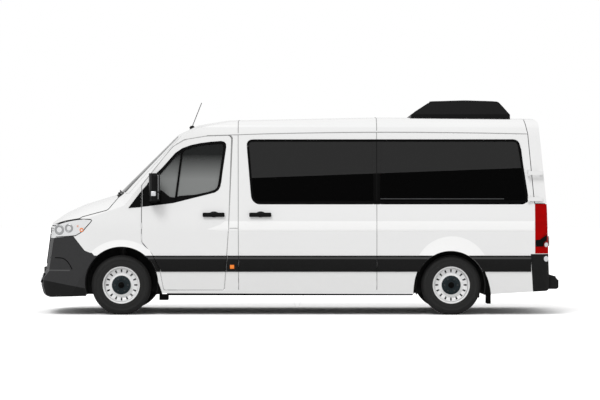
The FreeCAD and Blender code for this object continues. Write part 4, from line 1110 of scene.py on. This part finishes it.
def across(run, z):
    """The x at height z on a line of (z, x) points that runs downwards."""
    for (za, xa), (zb, xb) in zip(run, run[1:]):
        if z >= zb:
            return xa + (xb - xa) * (za - z) / (za - zb)
    return run[-1][1]


for side, s in SIDES:
    for name, (middle, centre_z), reach, way, run in (
            ("front", FRONT_ARCH, 0.4075, 1,
             [(0.4785, -1.585), (0.4, -1.549), (0.31, -1.517), (0.228, -1.49)]),
            ("rear_fore", REAR_ARCH, 0.3875, -1,
             [(0.4785, 1.336), (0.4, 1.312), (0.32, 1.3), (0.243, 1.295)]),
            ("rear_aft", REAR_ARCH, 0.3875, 1,
             [(0.4785, 2.088), (0.388, 2.124), (0.3, 2.146), (0.222, 2.157)])):
        def guard(u, v):
            z = run[0][0] + (run[-1][0] - run[0][0]) * u
            near = middle + way * math.sqrt(reach ** 2 - (z - centre_z) ** 2)
            return near + (across(run, z) - near) * v, s * (side_at(z) + 0.0012), z
        fit(curved_sheet("arch_guard_%s_%s" % (name, side), 16, 2, guard, 0.003), black_rubber)

# Underbody trim: the thick moulded foot of each mud flap, the dark weld flange under each
# sill and the tray under the engine. Black rubber and plastic on the plain underbody.

# The engine tray is a real part; its near-black rubber also stands in for the shade under the front
# bumper's chin, as painted shade.
soft_block("engine_undertray", (-2.62, -0.5, 0.212), (-2.07, 0.5, 0.298), 0.02, 3,
           black_rubber)
for side, s in SIDES:
    flange = block("sill_flange_" + side, (-1.44, s * 0.93, 0.216), (1.29, s * 0.964, 0.242))
    fit(flange, black_rubber)
    soft_block("mud_flap_foot_front_" + side, (-1.5265, s * 0.805, 0.163),
               (-1.428, s * 0.955, 0.226), 0.006, 2, black_rubber)
    soft_block("mud_flap_foot_rear_" + side, (2.111, s * 0.745, 0.122),
               (2.156, s * 0.958, 0.3), 0.006, 2, black_rubber)

# Seats: padded cushions and backs in dark cloth, each on a steel pedestal.
# One seat is modelled, then copied to the two cab places and the twelve in the cabin.

seat_shell = plain("seat_shell", (0.02, 0.02, 0.021), (0.03, 0.03, 0.031), 300, 0.6, 0.0006)
SEAT_FOOT = 0.46
CUSHION = [(-0.248, 0.315), (-0.26, 0.405), (-0.215, 0.425), (0.215, 0.405), (0.222, 0.31)]
BACK = [(0.158, 0.36), (0.262, 0.99), (0.29, 1.012), (0.34, 1.005), (0.262, 0.36)]
HEAD = [(0.284, 1.05), (0.3, 1.18), (0.32, 1.192), (0.36, 1.18), (0.348, 1.048)]
SHELL = [(0.262, 0.33), (0.345, 0.985), (0.356, 0.985), (0.276, 0.33)]


def seat_plate(name, outline, half):
    return plate(name, [(x, SEAT_FOOT + z) for x, z in outline], "xz", -half, half)


def pad(name, outline, half, puff=0.012):
    """A stuffed pad: a drawn outline, rounded, and swollen a little in the middle."""
    made = seat_plate(name, outline, half)
    soften(made, 0.026, 3, 20)
    apply(made, "REMESH", mode="VOXEL", voxel_size=0.016)
    apply(made, "SMOOTH", factor=0.6, iterations=5)
    for vertex in made.data.vertices:
        t = 1 - (vertex.co.y / half) ** 2
        vertex.co += vertex.normal * puff * max(t, 0)
    return made


def seat(width):
    """One seat facing forwards at the middle: its pads, and its frame with the pedestal."""
    half = width / 2
    pads = [pad("cushion", CUSHION, half - 0.006), pad("back", BACK, half - 0.012),
            pad("head", HEAD, 0.118, 0.006)]
    stays = [rod_along("stay", [(0.316, e, SEAT_FOOT + 0.985), (0.324, e, SEAT_FOOT + 1.075)],
                       0.007) for e in (-0.05, 0.05)]
    foot = block("foot", (-0.165, -0.07, SEAT_FOOT), (0.145, 0.07, SEAT_FOOT + 0.32))
    soften(foot, 0.012, 2)
    shell = soften(seat_plate("shell", SHELL, half - 0.03), 0.004, 2)
    return join("soft", *pads), join("hard", *stays, foot, shell)


for part, node, width, places in (
        ("front_seat", "front_seats", 0.48, [(-1.01, y) for y in (-0.4, 0.4)]),
        ("cabin_seat", "passenger_seats", 0.44, [(-0.16 + 0.77 * row, y) for row in range(4)
                                                 for y in (-0.64, -0.19, 0.6)])):
    soft, hard = seat(width)
    for number, (x, y) in enumerate(places):
        for model, label, finish in ((soft, "pads", seat_cloth), (hard, "frame", seat_shell)):
            made = bpy.data.objects.new("%s_%s_%d" % (part, label, number + 1), model.data.copy())
            made.data.name = made.name
            bpy.context.collection.objects.link(made)
            for vertex in made.data.vertices:
                vertex.co.x += x
                vertex.co.y += y
                if label == "frame" and vertex.co.z < 0.785 and vertex.co.x < x + 0.2:
                    vertex.co.y += 0.045 if y < 0 else -0.045
            fit(made, finish, "body", 40)
            if label == "pads":
                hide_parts(node)
    for model in (soft, hard):
        bpy.data.objects.remove(model)

# Cab: instrument hood and dials, centre screen and air vents.
# Grained soft-touch plastic with gloss bezels; the dials are plain numberless faces.

dial_face = plain("dial_face", (0.01, 0.01, 0.011), (0.02, 0.02, 0.022), 40, 0.2)
HOOD = [(-1.56, 1.19), (-1.53, 1.262), (-1.45, 1.262), (-1.42, 1.225), (-1.43, 1.19)]
hood = plate("instrument_hood", HOOD, "xz", -0.58, -0.22)
fit(soften(hood, 0.016, 3), dash_skin)
dials = [roller("dial", 0.052, (-1.427, y, 1.212), 0.01, "x", 40) for y in (-0.475, -0.325)]
fit(join("dials", *dials), dial_face)
soft_block("dash_screen", (-1.425, -0.12, 1.085), (-1.395, 0.12, 1.185), 0.006, 2, gloss_black)
vents = [roller("vent", 0.038, (-1.395, y, 1.05 if abs(y) < 0.1 else 1.14), 0.02, "x", 28)
         for y in (-0.8, -0.68, -0.06, 0.06, 0.68, 0.8)]
fit(join("air_vents", *vents), gloss_black)
